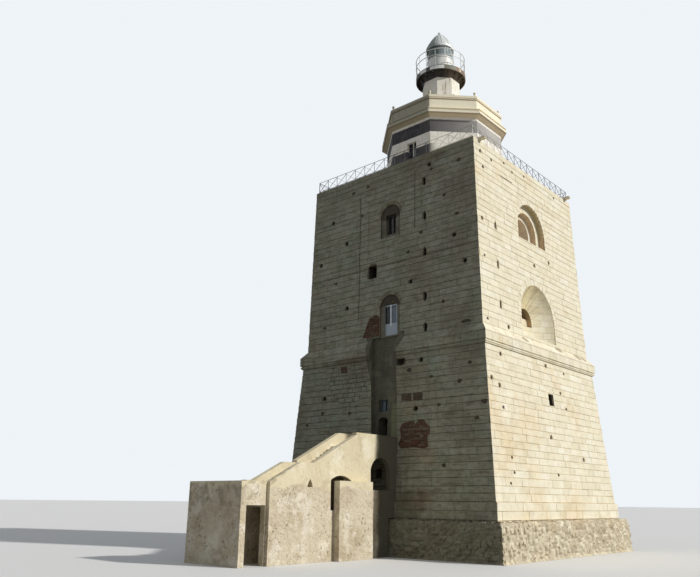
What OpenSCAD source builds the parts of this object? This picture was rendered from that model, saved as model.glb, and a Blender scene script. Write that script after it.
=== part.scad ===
// Lighthouse: a square battered masonry tower that carries a banded octagon,
// a round iron gallery and a glazed lantern, with a plastered outside stair.
// The tower is drawn at half its real size, in millimetres of the model.
// The origin lies at ground level on the tower's axis. The front faces -Y.

/* [Base] */
// Projection of the rubble footing beyond the plinth
footing_out = 320; // [150:10:400]
// Height of the rubble footing
footing_h = 1090; // [900:10:1200]
// Projection of the plinth beyond the wall
plinth_out = 65; // [25:5:165]
// Height of the plinth
plinth_h = 490; // [300:10:600]

/* [Lower stage] */
// Width of the lower stage at its foot
lower_w = 8230; // [8100:10:8270]
// Height of the lower stage
lower_h = 4560; // [4450:10:5000]
// How far each face of the lower stage leans in
lower_batter = 300; // [200:10:340]

/* [String course] */
// Projection of the course beyond the wall below it
course_out = 95; // [80:5:140]
// Height of the bead and its two grooves
bead_h = 120; // [90:10:160]
// Height of the plain fascia
fascia_h = 290; // [200:10:400]
// Height of the sloping weathering
weathering_h = 250; // [150:10:320]

/* [Upper stage] */
// Width of the upper stage at its foot
upper_w = 7410; // [7300:10:7500]
// Height of the upper stage
upper_h = 6390; // [6200:10:7000]
// How far each face of the upper stage leans in
upper_batter = 120; // [60:10:160]

/* [Rooms] */
// Width of the square rooms inside
room_w = 4900; // [4600:20:5000]
// Thickness of the floors
floor_t = 220; // [120:10:300]
// Thickness of the terrace deck
deck_t = 400; // [250:10:500]
// Level of the top room's floor above the foot of the upper stage
top_floor_h = 3180; // [2600:10:3300]

/* [Front bay] */
// Distance of the bay's centre line from the tower's axis
bay_x = 120; // [-200:10:300]
// Width of the arched bays
bay_w = 860; // [760:10:1000]
// Rise of the bay arches
bay_rise = 360; // [200:10:380]
// Height of the lower bay's sill above the foot of the upper stage
bay_sill_h = 70; // [40:5:90]
// Height of the lower bay from sill to crown
bay_h = 1460; // [1400:10:1700]
// Depth of the infill behind the wall's face
bay_reveal = 50; // [30:5:200]
// Thickness of the infill in the bays
infill_t = 300; // [200:10:400]
// Width of the upper door
door_w = 570; // [450:5:640]
// Height of the upper door
door_h = 1060; // [900:10:1080]
// Height of the door's threshold above the bay's sill
door_sill_h = 45; // [20:5:60]
// How far the upper door sits behind its infill
door_set = 15; // [5:5:120]
// Height of the window sill above the foot of the upper stage
window_sill_h = 3650; // [3400:10:3900]
// Width of the upper window
window_w = 450; // [340:2:560]
// Height of the upper window
window_h = 740; // [600:2:760]
// Height of the upper bay from sill to crown
window_bay_h = 1220; // [1150:10:1300]

/* [Entrance] */
// Level of the entrance landing above the plinth
landing_h = 1550; // [1450:10:1650]
// Distance of the entrance's centre line from the tower's axis
entry_x = -100; // [-110:10:0]
// Width of the entrance and of the window above it
entry_w = 390; // [340:10:420]
// Height of the entrance from landing to crown
entry_h = 1054; // [950:2:1100]
// Rise of the entrance arch
entry_rise = 80; // [40:5:120]
// Height of the wall between entrance and window
entry_lintel_h = 183; // [150:1:260]
// Height of the window over the entrance
entry_window_h = 384; // [300:2:440]
// Width of the rendered recess in the front
recess_w = 1070; // [1000:10:1150]
// Depth of the rendered recess
recess_depth = 150; // [80:5:200]
// How far the recess leans sideways from landing to top
recess_lean = 220; // [0:10:240]

/* [Side niches] */
// Width of the apse niche
apse_w = 2400; // [2200:10:2500]
// Depth of the apse niche
apse_depth = 575; // [500:5:700]
// Height of its sill above the foot of the upper stage
apse_sill_h = 95; // [60:5:150]
// Height of the apse from sill to springing
apse_spring_h = 715; // [600:5:800]
// Width of the opening in the apse
apse_light_w = 960; // [700:10:1040]
// Height of that opening
apse_light_h = 600; // [540:10:700]
// Height of that opening's sill above the niche's sill
apse_light_sill_h = 580; // [400:10:640]
// Height of the blocking wall in that opening
apse_block_h = 300; // [0:10:400]
// How far the blocking stands behind the deepest point of the niche
apse_block_set = 80; // [40:10:200]
// Width of the stepped arch
arch_w = 1968; // [1900:4:2100]
// Height of the stepped arch's sill above the foot of the upper stage
arch_sill_h = 3595; // [3300:5:3700]
// Height from that sill to the springing
arch_spring_h = 482; // [400:2:640]
// Distance of the stepped arch from the middle of the wall
arch_y = 35; // [-200:5:200]
// Width of the outer order's face
order_1_w = 260; // [200:10:320]
// Width of the inner order's face
order_2_w = 190; // [150:5:260]
// Depth of the outer order
order_1_depth = 205; // [150:5:380]
// Depth of the inner order
order_2_depth = 190; // [150:5:430]

/* [Slits] */
// Distance of the row of slits from the tower's axis
slit_x = 1590; // [1400:10:1700]
// Width of a slit
slit_w = 110; // [80:5:160]
// Height of a slit
slit_h = 260; // [180:10:320]
// Width of the square window
square_w = 370; // [280:10:420]
// Height of the square window
square_h = 470; // [380:10:520]
// Width of a putlog hole
putlog_w = 120; // [80:10:150]
// Depth of a putlog hole
putlog_depth = 180; // [100:10:240]

/* [Octagon] */
// Width of the octagon across its flats
oct_w = 4350; // [4200:10:4450]
// Height of the octagon's walls
oct_h = 2378; // [2200:2:2700]
// Thickness of the octagon's walls
oct_wall = 450; // [300:10:500]
// Distance of the terrace door from the tower's axis
terrace_door_x = 40; // [-150:10:150]
// Width of the terrace door
terrace_door_w = 420; // [360:10:600]
// Height of the terrace door
terrace_door_h = 1590; // [1300:10:1700]

/* [Cornice and parapet] */
// Projection of the cornice
cornice_out = 210; // [150:5:260]
// Height of the sloping soffit
soffit_h = 100; // [60:5:200]
// Height of the cornice's edge
cornice_edge_h = 200; // [80:5:240]
// Depth of the groove along the cornice's edge
cornice_groove = 40; // [20:5:60]
// Height of the slope on top of the cornice
cornice_top_h = 20; // [10:5:80]
// Height of the parapet with its coping
parapet_h = 610; // [500:10:700]
// Thickness of the parapet
parapet_t = 160; // [120:10:200]
// Projection of the parapet beyond the octagon
parapet_out = 25; // [10:5:50]
// Height of the parapet's coping
coping_h = 150; // [100:10:180]
// Overhang of the coping
coping_out = 35; // [20:5:50]
// Height of a pinnacle
pinnacle_h = 230; // [160:10:280]
// Radius of a pinnacle's ball
pinnacle_r = 55; // [40:5:70]

/* [Drum] */
// Width of the drum's base across its flats
drum_base_w = 1640; // [1560:10:1800]
// Height of the drum's base above the roof
drum_base_h = 1545; // [1400:5:1700]
// Width of the drum across its flats
drum_w = 1440; // [1400:10:1500]
// Height of the drum above its base
drum_h = 840; // [700:10:1000]
// Thickness of the drum's walls
drum_wall_t = 160; // [120:10:200]
// Projection of the ledge round the drum's foot
ledge_out = 35; // [20:5:60]
// Height of that ledge
ledge_h = 60; // [40:5:90]
// Width of a vent in the drum
vent_w = 90; // [60:5:120]

/* [Gallery] */
// Radius of the gallery deck
gallery_r = 1033; // [980:1:1100]
// Height of the flared corbel
corbel_h = 350; // [250:10:400]
// Radius of the corbel at its foot
corbel_r = 715; // [690:5:720]
// Number of ribs on the corbel
corbel_ribs = 16; // [8:1:24]
// Thickness of the gallery deck
gallery_t = 60; // [40:5:80]
// Height of the gallery's rim
rim_h = 200; // [150:10:240]
// Thickness of the rim
rim_t = 45; // [30:5:60]
// Height of the gallery railing
gallery_rail_h = 800; // [600:10:850]
// Number of railing posts
gallery_posts = 16; // [12:1:20]
// Thickness of the railing's bars
gallery_bar = 22; // [16:1:34]

/* [Lantern] */
// Radius of the lantern's wall
lantern_r = 541; // [500:1:570]
// Thickness of the lantern's wall
lantern_t = 45; // [30:5:60]
// Height of the lantern's wall
murette_h = 770; // [600:10:850]
// Height of the glazing
glazing_h = 505; // [400:5:600]
// Number of glazing bars
mullions = 12; // [8:1:16]
// Thickness of the glass
glass_t = 8; // [6:1:12]
// Radius of the eaves
eaves_r = 585; // [575:1:620]
// Height of the dome's upright edge
eaves_h = 90; // [50:5:120]
// Height of the dome above the eaves
dome_h = 780; // [650:10:900]
// Radius of the dome at the vent
dome_top_r = 70; // [60:5:90]
// Bulge of the dome's sides
dome_bulge = 55; // [20:5:90]
// Thickness of the dome's shell
dome_t = 30; // [20:2:40]
// Radius of the ball vent
ball_r = 62; // [50:1:75]

/* [Terrace railing] */
// Height of the terrace railing
rail_h = 460; // [400:10:520]
// Distance of the railing from the wall's edge
rail_inset = 55; // [40:5:120]
// Thickness of the railing's bars
rail_bar = 14; // [10:1:30]
// Number of lattice panels on each side
rail_panels = 15; // [10:1:18]

/* [Stair] */
// Place of the stair's middle along the front
stair_x = 90; // [0:10:150]
// Width of the stair over its parapet walls
stair_w = 1120; // [1060:10:1180]
// Thickness of the parapet walls
stair_wall = 170; // [140:10:200]
// Height of the parapets above the landings
stair_parapet_h = 370; // [300:10:450]
// How far the western parapet's slope starts nearer the tower
west_shift = 290; // [0:10:320]
// How much higher the western parapet is
west_rise = 50; // [0:10:80]
// Height of the steps in the parapets' tops
parapet_step = 70; // [20:10:100]
// Depth of a tread
tread = 154; // [140:1:165]
// Length of the entrance landing from the tower's face
landing_len = 2020; // [1900:10:2200]
// Length of the middle landing
mid_len = 790; // [700:10:900]
// Length of the lowest landing
low_len = 1000; // [950:10:1100]
// Width of the lowest flight, which turns back beside the stair
return_w = 920; // [800:10:1000]
// Thickness of the landings
landing_t = 180; // [120:10:220]
// Width of the passage beside the tower
passage_w = 925; // [800:5:1000]
// Height of the passage's sill above the ground
passage_sill = 1880; // [1700:10:1900]
// Height of the passage
passage_h = 947; // [800:1:960]
// Width of the segmental arch
relief_w = 856; // [700:2:900]
// Height of the block that leans on the stair
block_h = 2100; // [1900:10:2200]
// Length of that block
block_len = 1430; // [1300:10:1500]
// Thickness of that block
block_t = 210; // [150:10:260]

/* [Hidden] */
$fn = 64;

// Levels of the tower
z_plinth = footing_h;
z_lower = z_plinth + plinth_h;
z_course = z_lower + lower_h;
z_fascia = z_course + bead_h;
z_weathering = z_fascia + fascia_h;
z_upper = z_weathering + weathering_h;
z_terrace = z_upper + upper_h;
z_cornice = z_terrace + oct_h;
z_roof = z_cornice + soffit_h + cornice_edge_h + cornice_top_h;
z_parapet = z_roof + parapet_h;
z_drum = z_roof + drum_base_h;
z_corbel = z_drum + drum_h;
z_deck_under = z_corbel + corbel_h;
z_gallery = z_deck_under + gallery_t;
z_glazing = z_gallery + murette_h;
z_eaves = z_glazing + glazing_h;
z_vent = z_eaves + eaves_h + dome_h;

// Widths that follow from the batter
plinth_w = lower_w + 2 * plinth_out;
footing_w = plinth_w + 2 * footing_out;
lower_top_w = lower_w - 2 * lower_batter;
upper_top_w = upper_w - 2 * upper_batter;
lean = lower_batter / lower_h;
course_w = lower_top_w + 2 * course_out;
half_room = room_w / 2;
far = footing_w;

// Half the lower stage's width at level z, and the same for the upper stage
function lower_half(z) = lower_w / 2 - lean * (z - z_lower);
function upper_half(z) = upper_w / 2 - upper_batter * (z - z_upper) / upper_h;
// Radius of an arch from its half span and its rise
function arch_r(half, rise) = (half * half + rise * rise) / (2 * rise);

// Entrance levels
z_landing = z_lower + landing_h;
z_entry_crown = z_landing + entry_h;
z_entry_window = z_entry_crown + entry_lintel_h;
entry_x0 = entry_x - entry_w / 2;
entry_x1 = entry_x + entry_w / 2;

// Bay levels
z_bay = z_upper + bay_sill_h;
z_door = z_bay + door_sill_h;
z_window = z_upper + window_sill_h;
z_top_floor = z_upper + top_floor_h;

// Levels of the slits above the foot of the upper stage
slit_levels = [150, 1200, 2755, 4055, 5350];
// Small square putlog holes in the front: [x, level above the plinth or the upper foot]
putlogs_lower = [[980, 3160], [1320, 2770], [1490, 4310], [-2650, 3400]];
putlogs_upper = [[1000, 1830], [2760, 3080], [3140, 2110], [-3210, 3290], [-2650, 4870],
    [-1930, 3870], [-1840, 1370], [1810, 5920]];
// Pockets in both sides: [y, level above the plinth or the upper foot]
pockets_lower = [[-2950, 4340], [-3230, 3340], [-3650, 3520], [30, 4400], [-250, 2020],
    [2000, 1420]];
pockets_upper = [[-3200, 5980], [-3350, 3520], [50, 2780], [1200, 3180], [-2120, 140]];
// Broken pocket beside the recess: its centre and the level of its middle above the plinth
broken_x = 660;
broken_level = 4340;
broken_w = 330;
broken_h = 210;
// Blind opening under the entrance landing
under_x = entry_x + 40;
under_w = 250;
under_h = 275;
under_level = 825;
// Square window in the front: its centre and the level of its middle above the upper foot
square_x = -673;
square_level = 2505;
// Openings in the side of the lower stage, above the plinth
side_window_w = 358;
side_window_h = 395;
side_window_level = 3260;
side_window_y = 101;
// How far the upper window stands above the foot of its bay
window_foot = 110;
// Blind slits near the front corner of both sides
side_slit_y = -2530;
side_slit_levels = [800, 2150, 3500];
side_slit_depth = 500;

// Stair geometry: risers of equal height from the ground to the entrance
risers_up = 11;
risers_mid = 6;
risers_low = 19;
riser = z_landing / (risers_up + risers_mid + risers_low);
z_mid = z_landing - risers_up * riser;
z_low = z_mid - risers_mid * riser;
stair_x0 = stair_x - stair_w / 2;
stair_x1 = stair_x + stair_w / 2;
// Edges of the landings, counted outward from the tower's axis
y_a = lower_half(z_landing) + landing_len;
y_b = y_a + (risers_up - 1) * tread;
y_c = y_b + mid_len;
y_d = y_c + (risers_mid - 1) * tread;
y_wall_end = y_d + tread;
y_end = y_d + low_len;
return_x0 = stair_x0 - return_w;
setback = 100;
column_h = 350;

// Openings of the stair's walls, counted outward from the tower's axis
stair_root = lower_half(z_landing);
passage_y = stair_root + 837;
relief_y = stair_root + 2587;
relief_rise = 130;
relief_sill = 1310;
relief_crown = 2249;
pointed_y = y_b + 267;
pointed_w = 206;
pointed_h = 215;
pointed_sill = 1914;
block_y = stair_root + 2874;
low_door_w = 620;
low_door_h = 1440;
low_door_y = y_end - 493;

// A box between two corners
module box(x0, x1, y0, y1, z0, z1)
    translate([x0, y0, z0]) cube([x1 - x0, y1 - y0, z1 - z0]);

// A drawing of the front view carried along Y, or of the side view along X
module along_y(len)
    rotate([90, 0, 0]) linear_extrude(len, center = true) children();
module along_x(len)
    rotate([90, 0, 90]) linear_extrude(len, center = true) children();

module trapezoid(w0, w1, z0, z1)
    polygon([[-w0 / 2, z0], [w0 / 2, z0], [w1 / 2, z1], [-w1 / 2, z1]]);

// A square mass whose mouldings are mitred at the corners
module square_mass(len) {
    intersection() {
        along_y(len) children();
        along_x(len) children();
    }
}

// An octagonal mass whose mouldings are mitred at the corners
module octagon_mass(len) {
    intersection() {
        along_y(len) children();
        rotate([0, 0, 45]) along_y(len) children();
        along_x(len) children();
        rotate([0, 0, 45]) along_x(len) children();
    }
}

module octagon(w)
    rotate(22.5) circle(r = w / 2 / cos(22.5), $fn = 8);

module battered(w0, w1, z0, z1)
    square_mass(w0 + 100) trapezoid(w0, w1, z0, z1);

// The four sides of the square ring round the rooms
module front_zone(z0, z1) box(-far, far, -far, -half_room, z0, z1);
module back_zone(z0, z1) box(-far, far, half_room, far, z0, z1);
module side_zones(z0, z1) {
    box(half_room, far, -half_room, half_room, z0, z1);
    box(-far, -half_room, -half_room, half_room, z0, z1);
}

// An opening with a segmental head: half width, sill, crown and rise
module arched(half, sill, crown, rise) {
    r = arch_r(half, rise);
    translate([-half, sill]) square([2 * half, crown - rise - sill]);
    intersection() {
        translate([0, crown - r]) circle(r);
        translate([-half, crown - rise - 1]) square([2 * half, rise + 2]);
    }
}

// A hole through or into the front wall, drawn as a front view
module through_front(x, y0, y1)
    translate([x, -(y0 + y1) / 2, 0]) along_y(y1 - y0) children();

// The same for the side walls, on both sides
module through_side(y, x0, x1) {
    translate([(x0 + x1) / 2, y, 0]) along_x(x1 - x0) children();
    translate([-(x0 + x1) / 2, y, 0]) along_x(x1 - x0) children();
}

module hole(w, h, z)
    translate([-w / 2, z - h / 2]) square([w, h]);

// The rendered recess in the front, whose back follows the batter
module recess() {
    back_w0 = lower_w - 2 * recess_depth;
    back_w1 = back_w0 - 2 * lean * (z_bay - z_lower);
    difference() {
        through_front(0, half_room, far) polygon([
            [bay_x - recess_w / 2, z_landing],
            [bay_x + recess_w / 2, z_landing],
            [bay_x - recess_lean + recess_w / 2, z_bay],
            [bay_x - recess_lean - recess_w / 2, z_bay]
        ]);
        battered(back_w0, back_w1, z_lower, z_bay);
    }
}

module lower_stage() {
    difference() {
        battered(lower_w, lower_top_w, z_lower, z_course);
        recess();
    }
}

// The mass that the stair leans on
module stair_seat() {
    box(-footing_w / 2, footing_w / 2, -footing_w / 2, 0, -10, footing_h);
    box(-plinth_w / 2, plinth_w / 2, -plinth_w / 2, 0, 0, z_lower);
    lower_stage();
}

module footing() {
    color("#a89f8a") box(-footing_w / 2, footing_w / 2, -footing_w / 2, footing_w / 2, 0,
        footing_h);
}

module plinth() {
    color("#b9b09a") box(-plinth_w / 2, plinth_w / 2, -plinth_w / 2, plinth_w / 2, z_plinth,
        z_lower);
}

module putlogs_front(list, foot, face) {
    for (p = list)
        through_front(p[0], face - putlog_depth, far)
            hole(putlog_w, putlog_w, foot + p[1]);
}

// Pockets in both side faces, at the given level above the foot of the stage
module pockets_side(list, foot, half_w) {
    for (p = list)
        through_side(p[0], half_w - putlog_depth, far)
            hole(putlog_w, putlog_w, foot + p[1]);
}

module lower_pockets()
    pockets_side(pockets_lower, z_lower, lower_half(z_lower + lower_h * 0.7));

module upper_pockets()
    pockets_side(pockets_upper, z_upper, upper_half(z_upper + upper_h / 2));

module lower_wall_front() {
    color("#d2c7a8") difference() {
        intersection() {
            lower_stage();
            front_zone(z_lower, z_course);
        }
        box(entry_x0, entry_x1, -far, 0, z_lower - 1, z_course + 1);
        putlogs_front(putlogs_lower, z_lower, lower_half(z_lower + lower_h * 0.7));
        through_front(broken_x, lower_half(z_lower + broken_level) - 1.5 * putlog_depth, far)
            hole(broken_w, broken_h, z_lower + broken_level);
        lower_pockets();
    }
}

module lower_wall_entry() {
    color("#d2c7a8") difference() {
        intersection() {
            lower_stage();
            box(entry_x0, entry_x1, -far, -half_room, z_lower, z_course);
        }
        through_front(entry_x, 0, far)
            arched(entry_w / 2 + 1, z_landing, z_entry_crown, entry_rise);
        through_front(entry_x, 0, far)
            hole(entry_w + 2, entry_window_h, z_entry_window + entry_window_h / 2);
        through_front(under_x, lower_half(z_lower + under_level) - side_slit_depth, far)
            hole(under_w, under_h, z_lower + under_level);
    }
}

module lower_walls_side() {
    color("#e6dcbd") difference() {
        intersection() {
            lower_stage();
            side_zones(z_lower, z_course);
        }
        through_side(side_window_y, half_room - 100, far)
            hole(side_window_w, side_window_h, z_lower + side_window_level);
        lower_pockets();
    }
}

module lower_wall_back() {
    color("#d2c7a8") intersection() {
        lower_stage();
        back_zone(z_lower, z_course);
    }
}

// Outline of the string course: groove, bead, groove, fascia and weathering
module course_outline() {
    bead_r = bead_h / 4;
    groove_w = course_w - 2 * bead_r - 20;
    translate([-groove_w / 2, z_course]) square([groove_w, bead_h]);
    for (side = [-1, 1])
        translate([side * (groove_w / 2 - 2), z_course + bead_h / 2]) circle(bead_r);
    translate([-course_w / 2, z_fascia]) square([course_w, fascia_h]);
    trapezoid(course_w, upper_w, z_weathering, z_upper);
}

module string_course() {
    difference() {
        square_mass(course_w + 200) course_outline();
        recess();
    }
}

module string_course_front() {
    color("#c9bea0") intersection() {
        string_course();
        union() {
            front_zone(z_course, z_upper);
            back_zone(z_course, z_upper);
        }
    }
}

module string_course_sides() {
    color("#e6dcbd") intersection() {
        string_course();
        side_zones(z_course, z_upper);
    }
}

module upper_stage() {
    difference() {
        battered(upper_w, upper_top_w, z_upper, z_terrace);
        recess();
    }
}

module slit_row() {
    for (level = slit_levels)
        hole(slit_w, slit_h, z_upper + level);
}

module upper_wall_front() {
    color("#d2c7a8") difference() {
        intersection() {
            upper_stage();
            front_zone(z_upper, z_terrace);
        }
        box(bay_x - bay_w / 2, bay_x + bay_w / 2, -far, 0, z_upper - 1, z_terrace + 1);
        through_front(slit_x, half_room - 100, far) slit_row();
        through_front(square_x, half_room - 100, far)
            hole(square_w, square_h, z_upper + square_level);
        putlogs_front(putlogs_upper, z_upper, upper_half(z_upper + upper_h / 2));
        through_side(side_slit_y, upper_half(z_upper) - side_slit_depth, far)
            for (level = side_slit_levels) hole(slit_w, slit_h, z_upper + level);
        upper_pockets();
    }
}

module upper_wall_bay() {
    color("#d2c7a8") difference() {
        intersection() {
            upper_stage();
            box(bay_x - bay_w / 2, bay_x + bay_w / 2, -far, -half_room, z_upper, z_terrace);
        }
        through_front(bay_x, 0, far) arched(bay_w / 2 + 1, z_bay, z_bay + bay_h, bay_rise);
        through_front(bay_x, 0, far)
            arched(bay_w / 2 + 1, z_window, z_window + window_bay_h, bay_rise);
    }
}

// The split between the apse and the stepped arch
split_drop = 700;
z_split = z_upper + arch_sill_h - split_drop;

// Hollow of the apse: upright below its springing, a half dome above
module apse_hollow() {
    half = apse_w / 2;
    r = arch_r(half, apse_depth);
    z_sill = z_upper + apse_sill_h;
    z_spring = z_sill + apse_spring_h;
    face = upper_half(z_spring);
    for (turn = [0, 180]) rotate([0, 0, turn])
        translate([face - apse_depth + r, 0, 0]) {
            translate([0, 0, z_sill]) cylinder(r = r, h = apse_spring_h);
            intersection() {
                translate([0, 0, z_spring]) sphere(r);
                box(-2 * r, 2 * r, -2 * r, 2 * r, z_spring, z_spring + 2 * r);
            }
        }
    z_light = z_sill + apse_light_sill_h;
    through_side(0, face - apse_depth - apse_block_set, far) apse_light(z_light);
    through_side(0, half_room - 100, far) intersection() {
        apse_light(z_light);
        translate([-apse_light_w, z_light + apse_block_h])
            square([2 * apse_light_w, apse_light_h]);
    }
}

module apse_light(z)
    arched(apse_light_w / 2, z, z + apse_light_h, apse_light_w / 2);

module upper_walls_apse() {
    color("#e6dcbd") difference() {
        intersection() {
            upper_stage();
            side_zones(z_upper, z_split);
        }
        apse_hollow();
        upper_pockets();
    }
}

// Three nested orders; the innermost goes through to the room
module arch_hollow() {
    z_sill = z_upper + arch_sill_h;
    z_spring = z_sill + arch_spring_h;
    face = upper_half(z_spring);
    r1 = arch_w / 2;
    r2 = r1 - order_1_w;
    r3 = r2 - order_2_w;
    through_side(arch_y, face - order_1_depth, far)
        arched(r1, z_sill, z_spring + r1, r1);
    through_side(arch_y, face - order_1_depth - order_2_depth, far)
        arched(r2, z_sill, z_spring + r2, r2);
    through_side(arch_y, half_room - 100, far)
        arched(r3, z_sill, z_spring + r3, r3);
}

module upper_walls_arch() {
    color("#e6dcbd") difference() {
        intersection() {
            upper_stage();
            side_zones(z_split, z_terrace);
        }
        arch_hollow();
        upper_pockets();
    }
}

module upper_wall_back() {
    color("#d2c7a8") difference() {
        intersection() {
            upper_stage();
            back_zone(z_upper, z_terrace);
        }
        translate([slit_x, far / 2, 0]) along_y(far) slit_row();
    }
}

// Front faces of the two infills
door_face = upper_half(z_bay) - bay_reveal;
window_face = upper_half(z_window) - bay_reveal;

module bay_infill() {
    color("#8d8c78") {
        through_front(bay_x, door_face - infill_t, door_face) difference() {
            arched(bay_w / 2, z_bay, z_bay + bay_h, bay_rise);
            translate([-door_w / 2, z_door]) square([door_w, door_h]);
        }
        through_front(bay_x, window_face - infill_t, window_face) difference() {
            arched(bay_w / 2, z_window, z_window + window_bay_h, bay_rise);
            translate([-window_w / 2, z_window + window_foot]) square([window_w, window_h]);
        }
    }
}

// Timber section of frames, and how deep a frame sits in its opening
frame_bar = 45;
frame_t = 50;
frame_set = 110;

// Frame of a glazed door or window: outer width and height, share of the height
// that a solid panel takes, number of panes across
module sash(w, h, panel, across) {
    difference() {
        square([w, h]);
        for (i = [0 : across - 1])
            translate([frame_bar + i * (w - frame_bar) / across, frame_bar + panel * h])
                square([(w - frame_bar) / across - frame_bar, h * (1 - panel) - 2 * frame_bar]);
    }
}

module balcony_door() {
    color("#9aa9ae")
        through_front(bay_x, door_face - door_set - frame_t, door_face - door_set)
            translate([-door_w / 2, z_door]) sash(door_w, door_h, 0.34, 2);
}

// Set of the entrance window and of the terrace door in their walls
entry_window_face = lower_half(z_entry_window) - recess_depth - frame_set;
terrace_door_face = oct_w / 2 - frame_set;

module window_frames() {
    color("#c8ccc8") {
        through_front(entry_x, entry_window_face - frame_t, entry_window_face)
            translate([-entry_w / 2, z_entry_window]) sash(entry_w, entry_window_h, 0, 2);
        through_front(bay_x, window_face - frame_set - frame_t, window_face - frame_set)
            translate([-window_w / 2, z_window + window_foot]) sash(window_w, window_h, 0, 2);
        through_front(terrace_door_x, terrace_door_face - frame_t, terrace_door_face)
            translate([-terrace_door_w / 2, z_terrace])
                sash(terrace_door_w, terrace_door_h, 0.2, 2);
    }
}

// A sheet of glass that rests on the back of a sash
module pane(x, face, z, w, h) {
    back = face - frame_t;
    through_front(x, back - glass_t, back)
        translate([-w / 2 + 10, z + 10]) square([w - 20, h - 20]);
}

module window_panes() {
    color("#4a5a60", 0.5) {
        pane(entry_x, entry_window_face, z_entry_window, entry_w, entry_window_h);
        pane(bay_x, window_face - frame_set, z_window + window_foot, window_w, window_h);
        pane(bay_x, door_face - door_set, z_door, door_w, door_h);
        pane(terrace_door_x, terrace_door_face, z_terrace, terrace_door_w, terrace_door_h);
    }
}

module floors() {
    color("#9c8f76")
        for (z = [z_landing, z_bay, z_top_floor])
            box(-half_room, half_room, -half_room, half_room, z - floor_t, z);
}

module terrace_deck() {
    color("#8f897b")
        box(-half_room, half_room, -half_room, half_room, z_terrace - deck_t, z_terrace);
}

// One side of the iron lattice railing, drawn flat from corner to corner
module lattice(len) {
    pitch = (len - rail_bar) / rail_panels;
    clear_w = pitch - rail_bar;
    clear_h = rail_h - 100;
    diagonal = sqrt(clear_w * clear_w + clear_h * clear_h);
    tilt = atan(clear_h / clear_w);
    foot = 50;
    for (i = [0 : rail_panels])
        translate([-len / 2 + i * pitch, 0]) square([rail_bar, rail_h]);
    for (z = [foot, rail_h - rail_bar])
        translate([-len / 2, z]) square([len, rail_bar]);
    for (i = [0 : rail_panels - 1], turn = [-1, 1])
        translate([-len / 2 + (i + 0.5) * pitch + rail_bar / 2, foot + rail_bar / 2 + clear_h / 2])
            rotate(turn * tilt) square([diagonal + 4, rail_bar * 0.7], center = true);
}

rail_run = upper_top_w - 2 * rail_inset;

module terrace_railing_front() {
    color("#3f4347")
        for (side = [-1, 1])
            translate([0, side * (rail_run / 2 - rail_bar / 2), z_terrace])
                along_y(rail_bar) lattice(rail_run);
}

module terrace_railing_sides() {
    color("#3f4347")
        for (side = [-1, 1])
            translate([side * (rail_run / 2 - rail_bar / 2), 0, z_terrace])
                along_x(rail_bar) lattice(rail_run - 2 * rail_bar);
}

// Stone spouts that throw the terrace's rain clear of the wall
spout_out = 230;
spout_w = 130;
spout_h = 90;
spout_root = 60;
spout_from_corner = 400;

module rain_spouts() {
    x = upper_top_w / 2;
    color("#a49b86")
        for (side = [0, 1], y = [spout_from_corner - x, x - spout_from_corner])
            mirror([side, 0, 0]) difference() {
                box(x - spout_root, x + spout_out, y - spout_w / 2, y + spout_w / 2,
                    z_terrace, z_terrace + spout_h);
                box(x - spout_root, x + spout_out, y - spout_w / 4, y + spout_w / 4,
                    z_terrace + spout_h / 3, z_terrace + spout_h);
            }
}

// One straight wall of the octagon, mitred to its neighbours, facing -Y
module octagon_panel(w, t, z0, z1) {
    outer = w / 2;
    inner = outer - t;
    slope = tan(22.5);
    translate([0, 0, z0]) linear_extrude(z1 - z0) polygon([
        [-outer * slope, -outer], [outer * slope, -outer],
        [inner * slope, -inner], [-inner * slope, -inner]
    ]);
}

module octagon_walls_diagonal() {
    color("#d8d3c0")
        for (i = [0 : 3]) rotate([0, 0, 45 + 90 * i])
            octagon_panel(oct_w, oct_wall, z_terrace, z_cornice);
}

module terrace_doorway()
    box(terrace_door_x - terrace_door_w / 2, terrace_door_x + terrace_door_w / 2, -oct_w / 2 - 1,
        -oct_w / 2 + oct_wall + 1, z_terrace, z_cornice);

module octagon_walls_square() {
    color("#d8d3c0") {
        for (i = [1 : 3]) rotate([0, 0, 90 * i])
            octagon_panel(oct_w, oct_wall, z_terrace, z_cornice);
        difference() {
            octagon_panel(oct_w, oct_wall, z_terrace, z_cornice);
            terrace_doorway();
        }
    }
}

module octagon_lintel() {
    color("#d8d3c0") intersection() {
        octagon_panel(oct_w, oct_wall, z_terrace + terrace_door_h, z_cornice);
        terrace_doorway();
    }
}

module octagon_cornice() {
    edge = oct_w + 2 * cornice_out;
    top_w = oct_w + 2 * (parapet_out + coping_out);
    z1 = z_cornice + soffit_h;
    z2 = z1 + cornice_edge_h;
    groove_w = edge - 2 * cornice_groove;
    groove_z0 = z1 + cornice_edge_h * 0.52;
    groove_z1 = z1 + cornice_edge_h * 0.86;
    color("#e2cf9f") difference() {
        octagon_mass(2 * edge) {
            trapezoid(oct_w, edge, z_cornice, z1);
            trapezoid(edge, edge, z1, groove_z0);
            trapezoid(groove_w, groove_w, groove_z0, groove_z1);
            trapezoid(edge, edge, groove_z1, z2);
            trapezoid(edge, top_w, z2, z_roof);
        }
        translate([0, 0, z_cornice - 1]) linear_extrude(z_roof - z_cornice + 2)
            octagon(oct_w - 2 * oct_wall);
    }
}

module octagon_roof() {
    color("#8f897b") translate([0, 0, z_roof - deck_t / 2]) linear_extrude(deck_t / 2)
        octagon(oct_w - 2 * oct_wall);
}

parapet_w = oct_w + 2 * parapet_out;

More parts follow.
